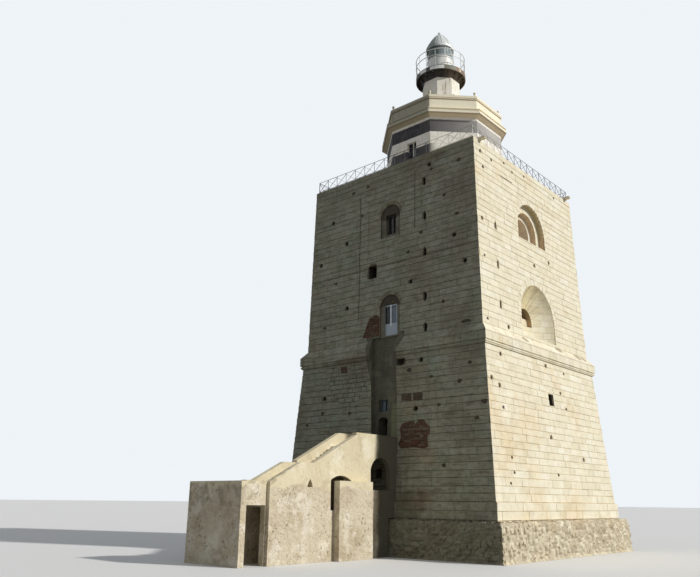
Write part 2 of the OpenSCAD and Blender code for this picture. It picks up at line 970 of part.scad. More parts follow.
// One side of the parapet, mitred to its neighbours: wall, groove and coping
module parapet_side() {
    outer = parapet_w / 2;
    inner = outer - parapet_t;
    z1 = z_parapet - coping_h;
    reach = outer + 2 * coping_out;
    intersection() {
        along_x(parapet_w) polygon([
            [-inner, z_roof], [-outer, z_roof],
            [-outer, z1 - 25], [12 - outer, z1 - 25], [12 - outer, z1],
            [-outer - coping_out, z1], [-outer - coping_out, z_parapet],
            [coping_out - inner, z_parapet], [coping_out - inner, z1], [-inner, z1]
        ]);
        translate([0, 0, z_roof - 1]) linear_extrude(parapet_h + 2) polygon([
            [0, 0], [-reach * tan(22.5), -reach], [reach * tan(22.5), -reach]
        ]);
    }
}

module parapet_diagonal() {
    color("#e2cf9f")
        for (i = [0 : 3]) rotate([0, 0, 45 + 90 * i]) parapet_side();
}

module parapet_square() {
    color("#e2cf9f")
        for (i = [0 : 3]) rotate([0, 0, 90 * i]) parapet_side();
}

module parapet_pinnacles() {
    r = (parapet_w - parapet_t) / 2 / cos(22.5);
    neck = pinnacle_h - 2 * pinnacle_r + 10;
    color("#e6dcb8")
        for (i = [0 : 7]) rotate([0, 0, 22.5 + 45 * i]) translate([r, 0, z_parapet]) {
            cylinder(r = pinnacle_r * 0.7, h = neck);
            translate([0, 0, pinnacle_h - pinnacle_r]) sphere(pinnacle_r);
        }
}

module drum_ring(w, z0, z1)
    translate([0, 0, z0]) linear_extrude(z1 - z0) octagon(w);

module drum_base() {
    color("#dcd6bd") difference() {
        union() {
            drum_ring(drum_base_w, z_roof, z_drum - ledge_h);
            drum_ring(drum_base_w + 2 * ledge_out, z_drum - ledge_h, z_drum);
        }
        drum_ring(drum_w - 2 * drum_wall_t, z_roof - 1, z_drum + 1);
    }
}

module drum_wall() {
    color("#e8e2ca") difference() {
        drum_ring(drum_w, z_drum, z_corbel);
        drum_ring(drum_w - 2 * drum_wall_t, z_drum - 1, z_corbel + 1);
        for (i = [0 : 7]) rotate([0, 0, 45 * i])
            box(-vent_w / 2, vent_w / 2, -drum_w, -drum_w / 2 + 70, z_drum + 40,
                z_drum + 40 + vent_w);
    }
}

// Points of an arc between two points, bulging outward by sag
function arc(p, q, sag, n) =
    let (d = q - p, len = norm(d), r = arch_r(len / 2, sag),
        u = d / len, v = [u[1], -u[0]],
        c = (p + q) / 2 - v * (r - sag), half = asin(len / 2 / r))
    [for (i = [0 : n]) let (a = -half + 2 * half * i / n) c + r * (v * cos(a) + u * sin(a))];

module gallery_corbel() {
    bore = drum_w / 2 - drum_wall_t - 20;
    top_r = gallery_r - rim_t - 3;
    flare = arc([corbel_r, z_corbel], [top_r, z_deck_under], -40, 6);
    color("#3a3733") {
        rotate_extrude()
            polygon(concat(flare, [[bore, z_deck_under], [bore, z_corbel]]));
        for (i = [0 : corbel_ribs - 1]) rotate([0, 0, 360 * (i + 0.5) / corbel_ribs])
            rotate([90, 0, 0]) linear_extrude(24, center = true) polygon([
                [corbel_r - 30, z_corbel + 30], [corbel_r + 25, z_corbel + 30],
                [top_r - 5, z_deck_under - 60], [top_r - 5, z_deck_under - 5],
                [corbel_r - 30, z_deck_under - 5]
            ]);
    }
}

module gallery_deck() {
    color("#46433e") rotate_extrude() polygon([
        [0, z_deck_under], [gallery_r - rim_t, z_deck_under],
        [gallery_r - rim_t, z_gallery - rim_h], [gallery_r, z_gallery - rim_h],
        [gallery_r, z_gallery], [0, z_gallery]
    ]);
}

module gallery_railing() {
    ring_r = gallery_r - gallery_bar - 4;
    color("#d9dcd8") {
        for (z = [z_gallery + gallery_rail_h * 0.6, z_gallery + gallery_rail_h - gallery_bar])
            rotate_extrude() translate([ring_r, z]) square(gallery_bar);
        for (i = [0 : gallery_posts - 1]) rotate([0, 0, 360 * i / gallery_posts])
            box(ring_r, ring_r + gallery_bar, -gallery_bar / 2, gallery_bar / 2, z_gallery,
                z_gallery + gallery_rail_h - gallery_bar / 2);
    }
}

module lantern_wall() {
    sill = 35;
    color("#f0f0ea") rotate_extrude() polygon([
        [lantern_r - lantern_t, z_gallery], [lantern_r, z_gallery],
        [lantern_r, z_glazing - sill], [lantern_r + 18, z_glazing - sill],
        [lantern_r + 18, z_glazing], [lantern_r - lantern_t, z_glazing]
    ]);
}

glass_r = lantern_r - 20;
glazing_ring = 30;

module lantern_frame() {
    color("#7d8583") {
        for (z = [z_glazing, z_eaves - glazing_ring])
            rotate_extrude() translate([lantern_r - lantern_t, z])
                square([lantern_t, glazing_ring]);
        for (i = [0 : mullions - 1]) rotate([0, 0, 360 * i / mullions])
            box(glass_r + 1, lantern_r - 2, -10, 10, z_glazing + glazing_ring / 2,
                z_eaves - glazing_ring / 2);
    }
}

module lantern_glazing() {
    color("#9fb8c0", 0.4) rotate_extrude()
        translate([glass_r - glass_t, z_glazing + glazing_ring])
            square([glass_t, glazing_h - 2 * glazing_ring]);
}

module lantern_dome() {
    side = arc([eaves_r, eaves_h], [dome_top_r, eaves_h + dome_h], dome_bulge, 8);
    inside = arc([eaves_r - dome_t, eaves_h - 20], [dome_top_r - dome_t + 5,
        eaves_h + dome_h - dome_t * 1.4], dome_bulge, 8);
    back = [for (i = [len(inside) - 1 : -1 : 0]) inside[i]];
    rib = 18;
    color("#9aa39f") translate([0, 0, z_eaves]) {
        rotate_extrude() polygon(concat([[eaves_r, 0]], side,
            [[0, eaves_h + dome_h], [0, eaves_h + dome_h - dome_t]], back,
            [[eaves_r - dome_t, 40], [lantern_r - lantern_t, 40],
                [lantern_r - lantern_t, 0]]));
        for (i = [0 : mullions - 1]) rotate([0, 0, 360 * (i + 0.5) / mullions])
            rotate([90, 0, 0]) linear_extrude(14, center = true) polygon(concat(
                [for (p = side) p + [rib, rib * 0.4]], [for (i = [8 : -1 : 0]) side[i] - [8, 8]]));
    }
}

module dome_vent() {
    color("#b9bdb8") translate([0, 0, z_vent]) {
        cylinder(r = dome_top_r - 25, h = 20);
        translate([0, 0, ball_r + 10]) sphere(ball_r);
        translate([0, 0, 2 * ball_r]) cylinder(r = 9, h = 50);
    }
}

// Side view of a parapet wall of the upper flights: the eastern one steps down before its
// slope starts, the western one where its slope ends
module parapet_outline(shift, rise, upper_step, lower_step) {
    top = stair_parapet_h + rise;
    start = shift - y_a + tread / 2;
    foot = shift - y_b - tread;
    polygon([
        [-half_room, 0], [-half_room, z_landing + top], [start, z_landing + top],
        [start, z_landing + top - upper_step], [foot, z_mid + top + lower_step],
        [foot, z_mid + top], [shift - y_c + tread, z_mid + top],
        [shift - y_wall_end, z_low + top], [-y_wall_end, z_low + top], [-y_wall_end, 0]
    ]);
}

module stair_wall_east() {
    mid = stair_x1 - stair_wall / 2;
    color("#ddd4ad") difference() {
        translate([mid, 0, 0]) along_x(stair_wall) parapet_outline(0, 0, parapet_step, 0);
        stair_seat();
        translate([mid, 0, 0]) along_x(2 * stair_wall) {
            translate([-passage_y, 0])
                arched(passage_w / 2, passage_sill, passage_sill + passage_h, passage_w * 0.4);
            translate([-relief_y, 0])
                arched(relief_w / 2, relief_sill, relief_crown, relief_rise);
            translate([-pointed_y, 0]) polygon([
                [-pointed_w / 2, pointed_sill], [pointed_w / 2, pointed_sill],
                [pointed_w / 3, pointed_sill + pointed_h / 2], [0, pointed_sill + pointed_h],
                [-pointed_w / 3, pointed_sill + pointed_h / 2]
            ]);
        }
    }
}

// The western parapet wall, and the one that guards the lowest flight
module stair_wall_west() {
    color("#ddd4ad") {
        difference() {
            translate([stair_x0 + stair_wall / 2, 0, 0]) along_x(stair_wall)
                parapet_outline(west_shift, west_rise, 0, parapet_step);
            stair_seat();
        }
        translate([return_x0 - stair_wall / 2, 0, 0]) along_x(stair_wall) polygon([
            [-y_wall_end, 0], [-y_wall_end, z_low + stair_parapet_h],
            [-y_d, z_low + stair_parapet_h],
            [(risers_low - 1) * tread - y_d, riser + stair_parapet_h],
            [(risers_low - 1) * tread - y_d, 0]
        ]);
    }
}

module stair_landings() {
    x0 = stair_x0 + stair_wall;
    x1 = stair_x1 - stair_wall;
    color("#b8b096") {
        difference() {
            box(x0, x1, -y_a, -half_room, z_landing - landing_t, z_landing);
            stair_seat();
        }
        box(x0, x1, -y_c, -y_b, z_mid - landing_t, z_mid);
        difference() {
            box(return_x0, stair_x1 - setback - stair_wall, -y_end + stair_wall, -y_d,
                z_low - landing_t, z_low);
            box(stair_x0, stair_x0 + stair_wall, -y_wall_end, 0, 0, z_landing);
        }
    }
}

// Steps of all three flights whose numbers have the given parity
module steps(odd) {
    x0 = stair_x0 + stair_wall;
    x1 = stair_x1 - stair_wall;
    for (i = [1 : risers_up - 1]) if (i % 2 == odd)
        box(x0, x1, -y_a - i * tread, -y_a - (i - 1) * tread,
            z_landing - i * riser - column_h, z_landing - i * riser);
    for (i = [1 : risers_mid - 1]) if (i % 2 == odd)
        box(x0, x1, -y_c - i * tread, -y_c - (i - 1) * tread,
            z_mid - i * riser - column_h, z_mid - i * riser);
    for (i = [1 : risers_low - 1]) if (i % 2 == odd)
        box(return_x0, stair_x0, -y_d + (i - 1) * tread, -y_d + i * tread,
            0, z_low - i * riser);
}

module stair_steps_odd() {
    color("#b8b096") steps(1);
}

module stair_steps_even() {
    color("#b8b096") steps(0);
}

module stair_block() {
    color("#cfc4a0")
        box(stair_x1, stair_x1 + block_t, -block_y, block_len - block_y, 0, block_h);
}

// Walls round the room under the lowest landing, with its doorway
module stair_end_wall() {
    x1 = stair_x1 - setback;
    x0 = return_x0 - stair_wall;
    top = z_low + stair_parapet_h;
    color("#d3c9a4") difference() {
        union() {
            box(x1 - stair_wall, x1, -y_end, -y_wall_end, 0, top);
            box(x0, x1, -y_end, -y_end + stair_wall, 0, top);
            box(x0, return_x0, -y_end, -y_wall_end, 0, top);
        }
        box(x1 - stair_wall - 1, x1 + 1, -low_door_y - low_door_w / 2,
            -low_door_y + low_door_w / 2, -1, low_door_h);
    }
}

footing();
plinth();
lower_wall_front();
lower_wall_entry();
lower_walls_side();
lower_wall_back();
string_course_front();
string_course_sides();
upper_wall_front();
upper_wall_bay();
upper_walls_apse();
upper_walls_arch();
upper_wall_back();
bay_infill();
balcony_door();
window_frames();
window_panes();
floors();
terrace_deck();
terrace_railing_front();
terrace_railing_sides();
rain_spouts();
octagon_walls_diagonal();
octagon_walls_square();
octagon_lintel();
octagon_roof();
octagon_cornice();
parapet_diagonal();
parapet_square();
parapet_pinnacles();
drum_base();
drum_wall();
gallery_corbel();
gallery_deck();
gallery_railing();
lantern_wall();
lantern_frame();
lantern_glazing();
lantern_dome();
dome_vent();
stair_wall_east();
stair_wall_west();
stair_landings();
stair_steps_odd();
stair_steps_even();
stair_block();
stair_end_wall();
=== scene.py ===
"""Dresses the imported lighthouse: dressed stone, brick, rubble, render, ironwork and the stage."""

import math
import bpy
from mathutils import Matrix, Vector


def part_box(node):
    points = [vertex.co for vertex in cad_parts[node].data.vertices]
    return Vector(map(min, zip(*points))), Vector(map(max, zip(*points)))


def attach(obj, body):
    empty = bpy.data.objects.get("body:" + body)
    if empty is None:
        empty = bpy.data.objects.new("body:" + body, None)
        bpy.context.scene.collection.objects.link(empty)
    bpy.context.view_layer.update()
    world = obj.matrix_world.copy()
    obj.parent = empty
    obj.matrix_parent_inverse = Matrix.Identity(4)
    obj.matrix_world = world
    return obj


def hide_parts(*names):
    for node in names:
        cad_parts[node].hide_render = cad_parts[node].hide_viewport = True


bl_info = {
    "name": "Lighthouse finishes",
    "version": (1, 0, 0),
    "blender": (4, 5, 0),
    "location": "View3D > Sidebar > Lighthouse",
    "description": "Facing stones, patches, rubble, finishes and stage for a lighthouse tower",
    "category": "Add Mesh",
}

import bmesh
import bpy
from mathutils import Matrix, Vector
from mathutils import noise as noise_of

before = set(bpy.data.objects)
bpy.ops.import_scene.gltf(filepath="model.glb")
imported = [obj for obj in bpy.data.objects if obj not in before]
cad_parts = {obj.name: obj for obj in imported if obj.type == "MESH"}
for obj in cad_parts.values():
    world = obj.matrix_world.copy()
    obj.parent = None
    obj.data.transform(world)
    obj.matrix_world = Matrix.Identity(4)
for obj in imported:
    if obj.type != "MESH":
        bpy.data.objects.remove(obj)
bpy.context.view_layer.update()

# Levels and half widths of the tower in metres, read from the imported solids
FOOT_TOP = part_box("footing")[1][2]
PLINTH_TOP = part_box("plinth")[1][2]
LOWER_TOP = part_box("lower_wall_back")[1][2]
UPPER_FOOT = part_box("upper_wall_back")[0][2]
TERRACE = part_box("upper_wall_back")[1][2]
LOWER_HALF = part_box("lower_wall_back")[1][1]
UPPER_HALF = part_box("upper_wall_back")[1][1]
PLINTH_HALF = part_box("plinth")[1][1]
FOOTING_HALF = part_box("footing")[1][1]
OCTAGON_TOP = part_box("octagon_walls_square")[1][2]
PARAPET_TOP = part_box("parapet_square")[1][2]
GALLERY_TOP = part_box("gallery_deck")[1][2]
DOME_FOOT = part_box("lantern_dome")[0][2]
# Half width at the foot, level of the foot and lean of each stage
STAGES = {"lower": (LOWER_HALF, PLINTH_TOP, 0.3 / 4.56), "upper": (UPPER_HALF, UPPER_FOOT, 0.12 / 6.39)}

# Edges of the damp render left on the front, as (level, across) pairs
RENDER_LEFT = ((6.98, -0.91), (6.74, -0.83), (6.29, -0.75), (6.08, -0.79), (5.64, -0.65), (5.21, -0.53),
               (4.93, -0.47), (4.25, -0.48))
RENDER_RIGHT = ((6.98, 0.76), (6.74, 0.74), (6.53, 0.71), (6.34, 0.52), (5.79, 0.48), (5.11, 0.55),
                (4.25, 0.59))

# Soft spots of other tints as (across, level, half width, half height)
PINK_SPOTS = ((1.15, 5.35, 0.75, 0.6), (1.1, 4.4, 0.6, 0.4), (1.5, 3.0, 0.8, 0.5))
BROWN_SPOTS = ((1.3, 1.6, 0.8, 0.45), (-1.5, 6.2, 0.9, 0.16), (2.2, 12.95, 0.5, 0.2))
BROKEN_COURSE = ((2.78, 6.72, 0.3, 0.13), (-1.25, 6.67, 0.16, 0.09), (-0.59, 6.84, 0.14, 0.07),
                 (0.51, 6.86, 0.18, 0.06), (1.3, 6.75, 0.3, 0.08), (3.31, 6.7, 0.15, 0.1))
# Paint left on the gallery's rim: angle in degrees where each tint begins
RIM_PAINT = ((-180, (0.1, 0.085, 0.07)), (-109, (0.95, 0.96, 0.95)), (-89, (0.06, 0.052, 0.045)),
             (-79, (0.95, 0.96, 0.95)), (-45, (0.22, 0.24, 0.19)), (-17, (0.26, 0.15, 0.09)),
             (-6, (0.7, 0.62, 0.46)), (0, (0.22, 0.13, 0.08)), (10, (0.2, 0.15, 0.1)),
             (60, (0.16, 0.13, 0.1)))

STONE_TONES = ((0.84, 0.78, 0.60), (0.89, 0.84, 0.68), (0.80, 0.74, 0.56), (0.90, 0.86, 0.71),
               (0.85, 0.79, 0.62), (0.92, 0.88, 0.75))
# Painted shade and damp: the tint that darkens and cools the shaded sides
SHADE_DAMP_TINT = (0.43, 0.455, 0.445)

FLOAT, COLOUR, VECTOR = "NodeSocketFloat", "NodeSocketColor", "NodeSocketVector"
INTEGER, OBJECT, MATERIAL = "NodeSocketInt", "NodeSocketObject", "NodeSocketMaterial"


# Node trees

class Value:
    """An output of a node. A sum such as value * 2 + other adds the Math nodes it needs."""

    def __init__(self, socket):
        self.socket = socket
        self.tree = socket.id_data

    def __add__(self, other):
        return calc("ADD", self, other)

    def __radd__(self, other):
        return calc("ADD", other, self)

    def __sub__(self, other):
        return calc("SUBTRACT", self, other)

    def __rsub__(self, other):
        return calc("SUBTRACT", other, self)

    def __mul__(self, other):
        return calc("MULTIPLY", self, other)

    def __truediv__(self, other):
        return calc("DIVIDE", self, other)

    def __rtruediv__(self, other):
        return calc("DIVIDE", other, self)

    def __gt__(self, other):
        return calc("GREATER_THAN", self, other)

    def __lt__(self, other):
        return calc("LESS_THAN", self, other)

    def __abs__(self):
        return calc("ABSOLUTE", self)


def tree_of(values):
    """The tree that holds the first node output among the values."""
    return next(value.tree for value in values if isinstance(value, Value))


def feed(socket, value):
    """Links a value to an input, or sets it. A colour may leave out its fourth part."""
    if isinstance(value, Value):
        value.tree.links.new(value.socket, socket)
    elif socket.type == "RGBA" and len(value) == 3:
        socket.default_value = (*value, 1.0)
    else:
        socket.default_value = value


def add(tree, kind, inputs=None, **settings):
    """Adds a node, sets its properties and feeds its inputs by name or index."""
    made = tree.nodes.new(kind)
    for key, value in settings.items():
        setattr(made, key, value)
    for key, value in (inputs or {}).items():
        feed(made.inputs[key], value)
    return made


def node(kind, inputs, output=0, **settings):
    """Adds a node to the tree that its inputs come from and gives one of its outputs."""
    return Value(add(tree_of(inputs.values()), kind, inputs, **settings).outputs[output])


def calc(operation, *values, clamp=False):
    return node("ShaderNodeMath", dict(enumerate(values)), operation=operation, use_clamp=clamp)


def most(first, second):
    return calc("MAXIMUM", first, second)


def least(first, second):
    return calc("MINIMUM", first, second)


def split(vector):
    return [Value(part) for part in add(vector.tree, "ShaderNodeSeparateXYZ", {0: vector}).outputs]


def join_xyz(x=0.0, y=0.0, z=0.0):
    return node("ShaderNodeCombineXYZ", {0: x, 1: y, 2: z})


def noise(vector, scale, detail=4.0, rough=0.55):
    return node("ShaderNodeTexNoise",
                {"Vector": vector, "Scale": scale, "Detail": detail, "Roughness": rough}, "Fac")


def span(value, low, high, first=0.0, last=1.0, kind="LINEAR"):
    """Maps low to first and high to last, and holds the ends beyond them."""
    return node("ShaderNodeMapRange", {"Value": value, "From Min": low, "From Max": high, "To Min": first,
                                       "To Max": last}, "Result", interpolation_type=kind)


def ramp(value, low, high):
    """0 below low, 1 above high, smooth between."""
    return span(value, low, high, kind="SMOOTHSTEP")


def patchy(vector, scale, detail, rough, low, high):
    """Soft patches: 0 where the noise is below low, 1 where it is above high."""
    return ramp(noise(vector, scale, detail, rough), low, high)


def within(value, low, high, soft=0.01):
    """1 between low and high with soft ends."""
    return ramp(value, low - soft, low + soft) * ramp(value, high + soft, high - soft)


def blend(factor, first, second, mode="MIX"):
    return node("ShaderNodeMix", {0: factor, 6: first, 7: second}, 2, data_type="RGBA", blend_type=mode)


def layered(colour, mode, *layers):
    """Lays tints over a colour, one after another. Each layer is a mask and a tint."""
    for mask, tint in layers:
        colour = blend(mask, colour, tint, mode)
    return colour


def scaled(colour, part):
    return tuple(part * c for c in colour)


def tone_ramp(value, colours, places=None, interpolation="LINEAR"):
    """A colour ramp with a stop for each colour, evenly spread unless places are given."""
    made = add(value.tree, "ShaderNodeValToRGB", {0: value})
    made.color_ramp.interpolation = interpolation
    stops = made.color_ramp.elements
    places = places or [index / (len(colours) - 1) for index in range(len(colours))]
    stops[0].position, stops[1].position = places[0], places[-1]
    stops[0].color, stops[1].color = (*colours[0], 1.0), (*colours[-1], 1.0)
    for place, colour in list(zip(places, colours))[1:-1]:
        stops.new(place).color = (*colour, 1.0)
    return Value(made.outputs["Color"])


def profile(value, pairs):
    """A curve with straight parts through (value, result) pairs."""
    pairs = sorted(pairs)
    low, high = pairs[0][0], pairs[-1][0]
    results = [result for start, result in pairs]
    bottom, top = min(results), max(results)
    greys = [((result - bottom) / (top - bottom),) * 3 for result in results]
    grey = tone_ramp(span(value, low, high), greys, [(start - low) / (high - low) for start, result in pairs])
    return span(grey, 0.0, 1.0, bottom, top)


def spots(across, level, places, ragged, core=0.75):
    """1 in soft round spots given as (across, level, half width, half height)."""
    mask = 0.0
    for place, height, wide, tall in places:
        first, second = (across - place) / wide, (level - height) / tall
        away = first * first + second * second + (ragged - 0.5) * 2.4
        mask = most(mask, ramp(away, 1.1, core))
    return mask


def new_group(name, kind, inputs, outputs):
    """A node group with named sockets; returns its tree, its inputs and its outputs."""
    tree = bpy.data.node_groups.new(name, kind)
    for socket, (socket_type, value) in inputs.items():
        item = tree.interface.new_socket(socket, in_out="INPUT", socket_type=socket_type)
        if value is not None:
            item.default_value = value
    for socket, socket_type in outputs.items():
        tree.interface.new_socket(socket, in_out="OUTPUT", socket_type=socket_type)
    given = {socket.name: Value(socket) for socket in tree.nodes.new("NodeGroupInput").outputs}
    return tree, given, tree.nodes.new("NodeGroupOutput").inputs


def use(group, **values):
    """Places a shader group; names with underscores stand for sockets with spaces."""
    values = {key.replace("_", " "): value for key, value in values.items()}
    made = add(tree_of(values.values()), "ShaderNodeGroup", node_tree=bpy.data.node_groups[group])
    for key, value in values.items():
        feed(made.inputs[key], value)
    return {socket.name: Value(socket) for socket in made.outputs}


def mottle(where, colour, patch, size, amount):
    return use("Mottle", Vector=where, Colour=colour, Patch_Colour=patch, Size=size, Amount=amount)["Colour"]


def streaks(where, width, length, amount):
    return use("Streaks", Vector=where, Width=width, Length=length, Amount=amount)["Mask"]


def pitting(where, size):
    return use("Pitting", Vector=where, Size=size)


def sides(where):
    return use("Sides", Vector=where)


def build_shader_groups():
    """Effects that several finishes share. Each puts out colours, masks or heights."""
    place = {"Vector": (VECTOR, None)}

    # Mottled colour in two sizes
    tree, given, out = new_group("Mottle", "ShaderNodeTree", {
        **place, "Colour": (COLOUR, (0.5, 0.5, 0.5, 1.0)), "Patch Colour": (COLOUR, (0.3, 0.3, 0.3, 1.0)),
        "Size": (FLOAT, 0.6), "Amount": (FLOAT, 0.5)}, {"Colour": COLOUR})
    where, size = given["Vector"], given["Size"]
    mixed = noise(where, 1.0 / size, 5.0, 0.6) * 0.7 + noise(where, 7.0 / size, 3.0) * 0.3
    mask = ramp(mixed, 0.42, 0.66) * given["Amount"]
    feed(out["Colour"], blend(mask, given["Colour"], given["Patch Colour"]))

    # Rain streaks that run down a wall
    tree, given, out = new_group("Streaks", "ShaderNodeTree", {
        **place, "Width": (FLOAT, 0.12), "Length": (FLOAT, 1.6), "Amount": (FLOAT, 0.5)}, {"Mask": FLOAT})
    x, y, z = split(given["Vector"])
    drawn = join_xyz(x / given["Width"], y / given["Width"], z / given["Length"])
    line = patchy(drawn, 1.0, 4.0, 0.5, 0.5, 0.72)
    feed(out["Mask"], line * ramp(noise(given["Vector"], 0.55, 2.0), 0.42, 0.62) * given["Amount"])

    # Pitted, weathered stone
    tree, given, out = new_group("Pitting", "ShaderNodeTree", {**place, "Size": (FLOAT, 0.03)},
                                 {"Height": FLOAT, "Pits": FLOAT})
    where, scale = given["Vector"], 1.0 / given["Size"]
    cells = node("ShaderNodeTexVoronoi", {"Vector": where, "Scale": scale}, "Distance")
    pits = ramp(cells, 0.34, 0.08) * ramp(noise(where, scale * 0.22, 2.0), 0.5, 0.62)
    feed(out["Height"], noise(where, scale * 0.5, 6.0, 0.65) - pits * 0.8)
    feed(out["Pits"], pits)

    # Courses of stone drawn on a plain solid: joints and a tone for each stone
    tree, given, out = new_group("Courses", "ShaderNodeTree", {
        "Along": (FLOAT, 0.0), "Level": (FLOAT, 0.0), "Height": (FLOAT, 0.22), "Length": (FLOAT, 0.46),
        "Joint": (FLOAT, 0.012)}, {"Joint Mask": FLOAT, "Tone": FLOAT})
    row = given["Level"] / given["Height"]
    course = calc("FLOOR", row)
    column = given["Along"] / given["Length"] + calc("FRACT", course * 0.618)

    def from_edge(value, size):
        part = calc("FRACT", value)
        return least(part, 1.0 - part) * size
    edge = least(from_edge(row, given["Height"]), from_edge(column, given["Length"]))
    half = given["Joint"] * 0.5
    feed(out["Joint Mask"], span(edge, half * 0.6, half * 1.6, 1.0, 0.0))
    feed(out["Tone"], node("ShaderNodeTexWhiteNoise", {"Vector": join_xyz(calc("FLOOR", column), course)},
                           "Value", noise_dimensions="3D"))

    # Distance behind the leaning face of one stage of the tower
    tree, given, out = new_group("Face depth", "ShaderNodeTree", {
        **place, "Half Width": (FLOAT, 3.7), "Foot": (FLOAT, 6.8), "Lean": (FLOAT, 0.0)}, {"Depth": FLOAT})
    x, y, z = split(given["Vector"])
    face = given["Half Width"] - (z - given["Foot"]) * given["Lean"]
    feed(out["Depth"], face - most(abs(x), abs(y)))

    # How much painted shade and damp each side of the tower gets: 1 on the front, less on the left and back,
    # 0 on the sunny side
    tree, given, out = new_group("Sides", "ShaderNodeTree", place,
                                 {"ShadeDamp": FLOAT, "Front": FLOAT, "Sunny": FLOAT})
    x, y, z = split(given["Vector"])
    along = abs(y) > abs(x)
    across = 1.0 - along
    front, left = along * (y < 0.0), across * (x < 0.0)
    feed(out["ShadeDamp"], front + ((along - front) * 0.45 + left * 0.65))
    feed(out["Front"], front)
    feed(out["Sunny"], across - left)

    # The coat of old render down the middle of the front
    tree, given, out = new_group("Render coat", "ShaderNodeTree", place, {"Mask": FLOAT})
    x, y, z = split(given["Vector"])
    ragged = (noise(given["Vector"], 4.0, 5.0, 0.6) - 0.5) * 0.16
    across = x + ragged
    mask = ramp(across - profile(z, RENDER_LEFT), -0.01, 0.02)
    mask = mask * ramp(profile(z, RENDER_RIGHT) - across, -0.01, 0.02)
    feed(out["Mask"], mask * within(z + ragged, 4.2, 6.97, 0.02) * (y < -3.2))


# Finishes

def new_material(name, metallic=0.0, **plain):
    """A material with a Principled shader; returns the material, the shader and the object position."""
    mat = bpy.data.materials.new(name)
    mat.use_nodes = True
    tree = mat.node_tree
    tree.nodes.clear()
    shader = add(tree, "ShaderNodeBsdfPrincipled", {"Metallic": metallic})
    for key, value in plain.items():
        shader.inputs[key.replace("_", " ")].default_value = value
    tree.links.new(shader.outputs[0], add(tree, "ShaderNodeOutputMaterial").inputs["Surface"])
    return mat, shader, Value(add(tree, "ShaderNodeTexCoord").outputs["Object"])


def finish(shader, colour, height, depth, rough):
    """Feeds colour, roughness and a bump height to the shader."""
    feed(shader.inputs["Base Color"], colour)
    feed(shader.inputs["Roughness"], rough)
    feed(shader.inputs["Normal"],
         node("ShaderNodeBump", {"Height": height, "Distance": depth, "Strength": 0.8}, "Normal"))


def normal_at(where):
    """Parts of the surface normal in the object's own frame."""
    return split(Value(where.socket.node.outputs["Normal"]))


def sunward(where):
    """-1 to 1: how far round the round or eight-sided pieces turn to the sunny side."""
    x, y, z = split(where)
    return (x * 0.94 + y * 0.34) / most(calc("SQRT", x * x + y * y), 0.001)


def stone_weather(where, colour, grime_and_shade=0.5):
    """Grime and painted shade on the shaded sides, browner under the terrace, and faint warm patches where
    the sun falls.
    """
    x, y, z = split(where)
    side = sides(where)
    shade_damp, front, sunny = side["ShadeDamp"], side["Front"], side["Sunny"]
    cloudy, fine = patchy(where, 0.7, 6.0, 0.62, 0.44, 0.66), patchy(where, 5.0, 4.0, 0.6, 0.48, 0.68)
    ragged = noise(where, 2.6, 5.0, 0.62)
    flat, lines = join_xyz(x, y, z * 3.0), join_xyz(x * 1.1, y * 1.1, z * 11.0)
    colour = layered(
        colour, "MULTIPLY",
        (sunny * patchy(where, 0.45, 4.0, 0.6, 0.5, 0.7) * 0.5, (0.9, 0.74, 0.55)),
        # Painted shade and damp darken and cool the shaded sides
        (shade_damp, SHADE_DAMP_TINT),
        # Pinkish and brown places of the front, and a cooler tint over its lower left
        (front * spots(x, z, PINK_SPOTS, ragged, -0.3) * 0.5, (1.0, 0.8, 0.68)),
        (front * spots(x, z, BROWN_SPOTS, ragged, 0.0) * 0.75, (0.58, 0.44, 0.36)),
        (front * ramp(x, -0.4, -0.9) * ramp(z, 6.4, 6.0) * 0.8, (0.8, 0.83, 0.83)),
        # An olive film, dark blotches, worn beds and bright places on the shaded, damp sides
        (shade_damp * patchy(where, 1.3, 4.0, 0.6, 0.52, 0.62) * 0.6, (0.84, 0.96, 0.9)),
        (shade_damp * patchy(flat, 4.5, 5.0, 0.72, 0.46, 0.64) * 0.65, (0.55, 0.53, 0.49)),
        (patchy(lines, 1.0, 4.0, 0.6, 0.56, 0.68) * (shade_damp * 0.5 + 0.14), (0.5, 0.46, 0.4)),
        (shade_damp * patchy(flat, 3.1, 5.0, 0.7, 0.55, 0.7) * 0.5, (1.35, 1.36, 1.34)))
    spread = cloudy * 0.42 + fine * 0.22 + ramp(z, TERRACE - 1.5, TERRACE - 0.1) * 0.22
    # Two upright cracks and a level one on the front
    bent = x + noise(where, 1.5, 3.0) * 0.08
    crack = most(within(bent, -1.25, -1.21) * within(z, 7.6, 12.3),
                 within(bent, 1.22, 1.255) * within(z, 10.5, 12.7))
    crack = most(crack, within(z + noise(where, 1.1, 3.0) * 0.08, 9.485, 9.515))
    return layered(
        colour, "MIX",
        # Grime and painted shade darken the shaded sides in patches
        (calc("MULTIPLY", spread * shade_damp, grime_and_shade, clamp=True), (0.15, 0.125, 0.08)),
        (sunny * cloudy * fine * (0.18 * grime_and_shade), (0.4, 0.3, 0.17)),
        (streaks(where, 0.16, 2.2, 0.55 * grime_and_shade) * shade_damp, (0.16, 0.135, 0.09)),
        (crack * front * 0.85, (0.07, 0.06, 0.04)))


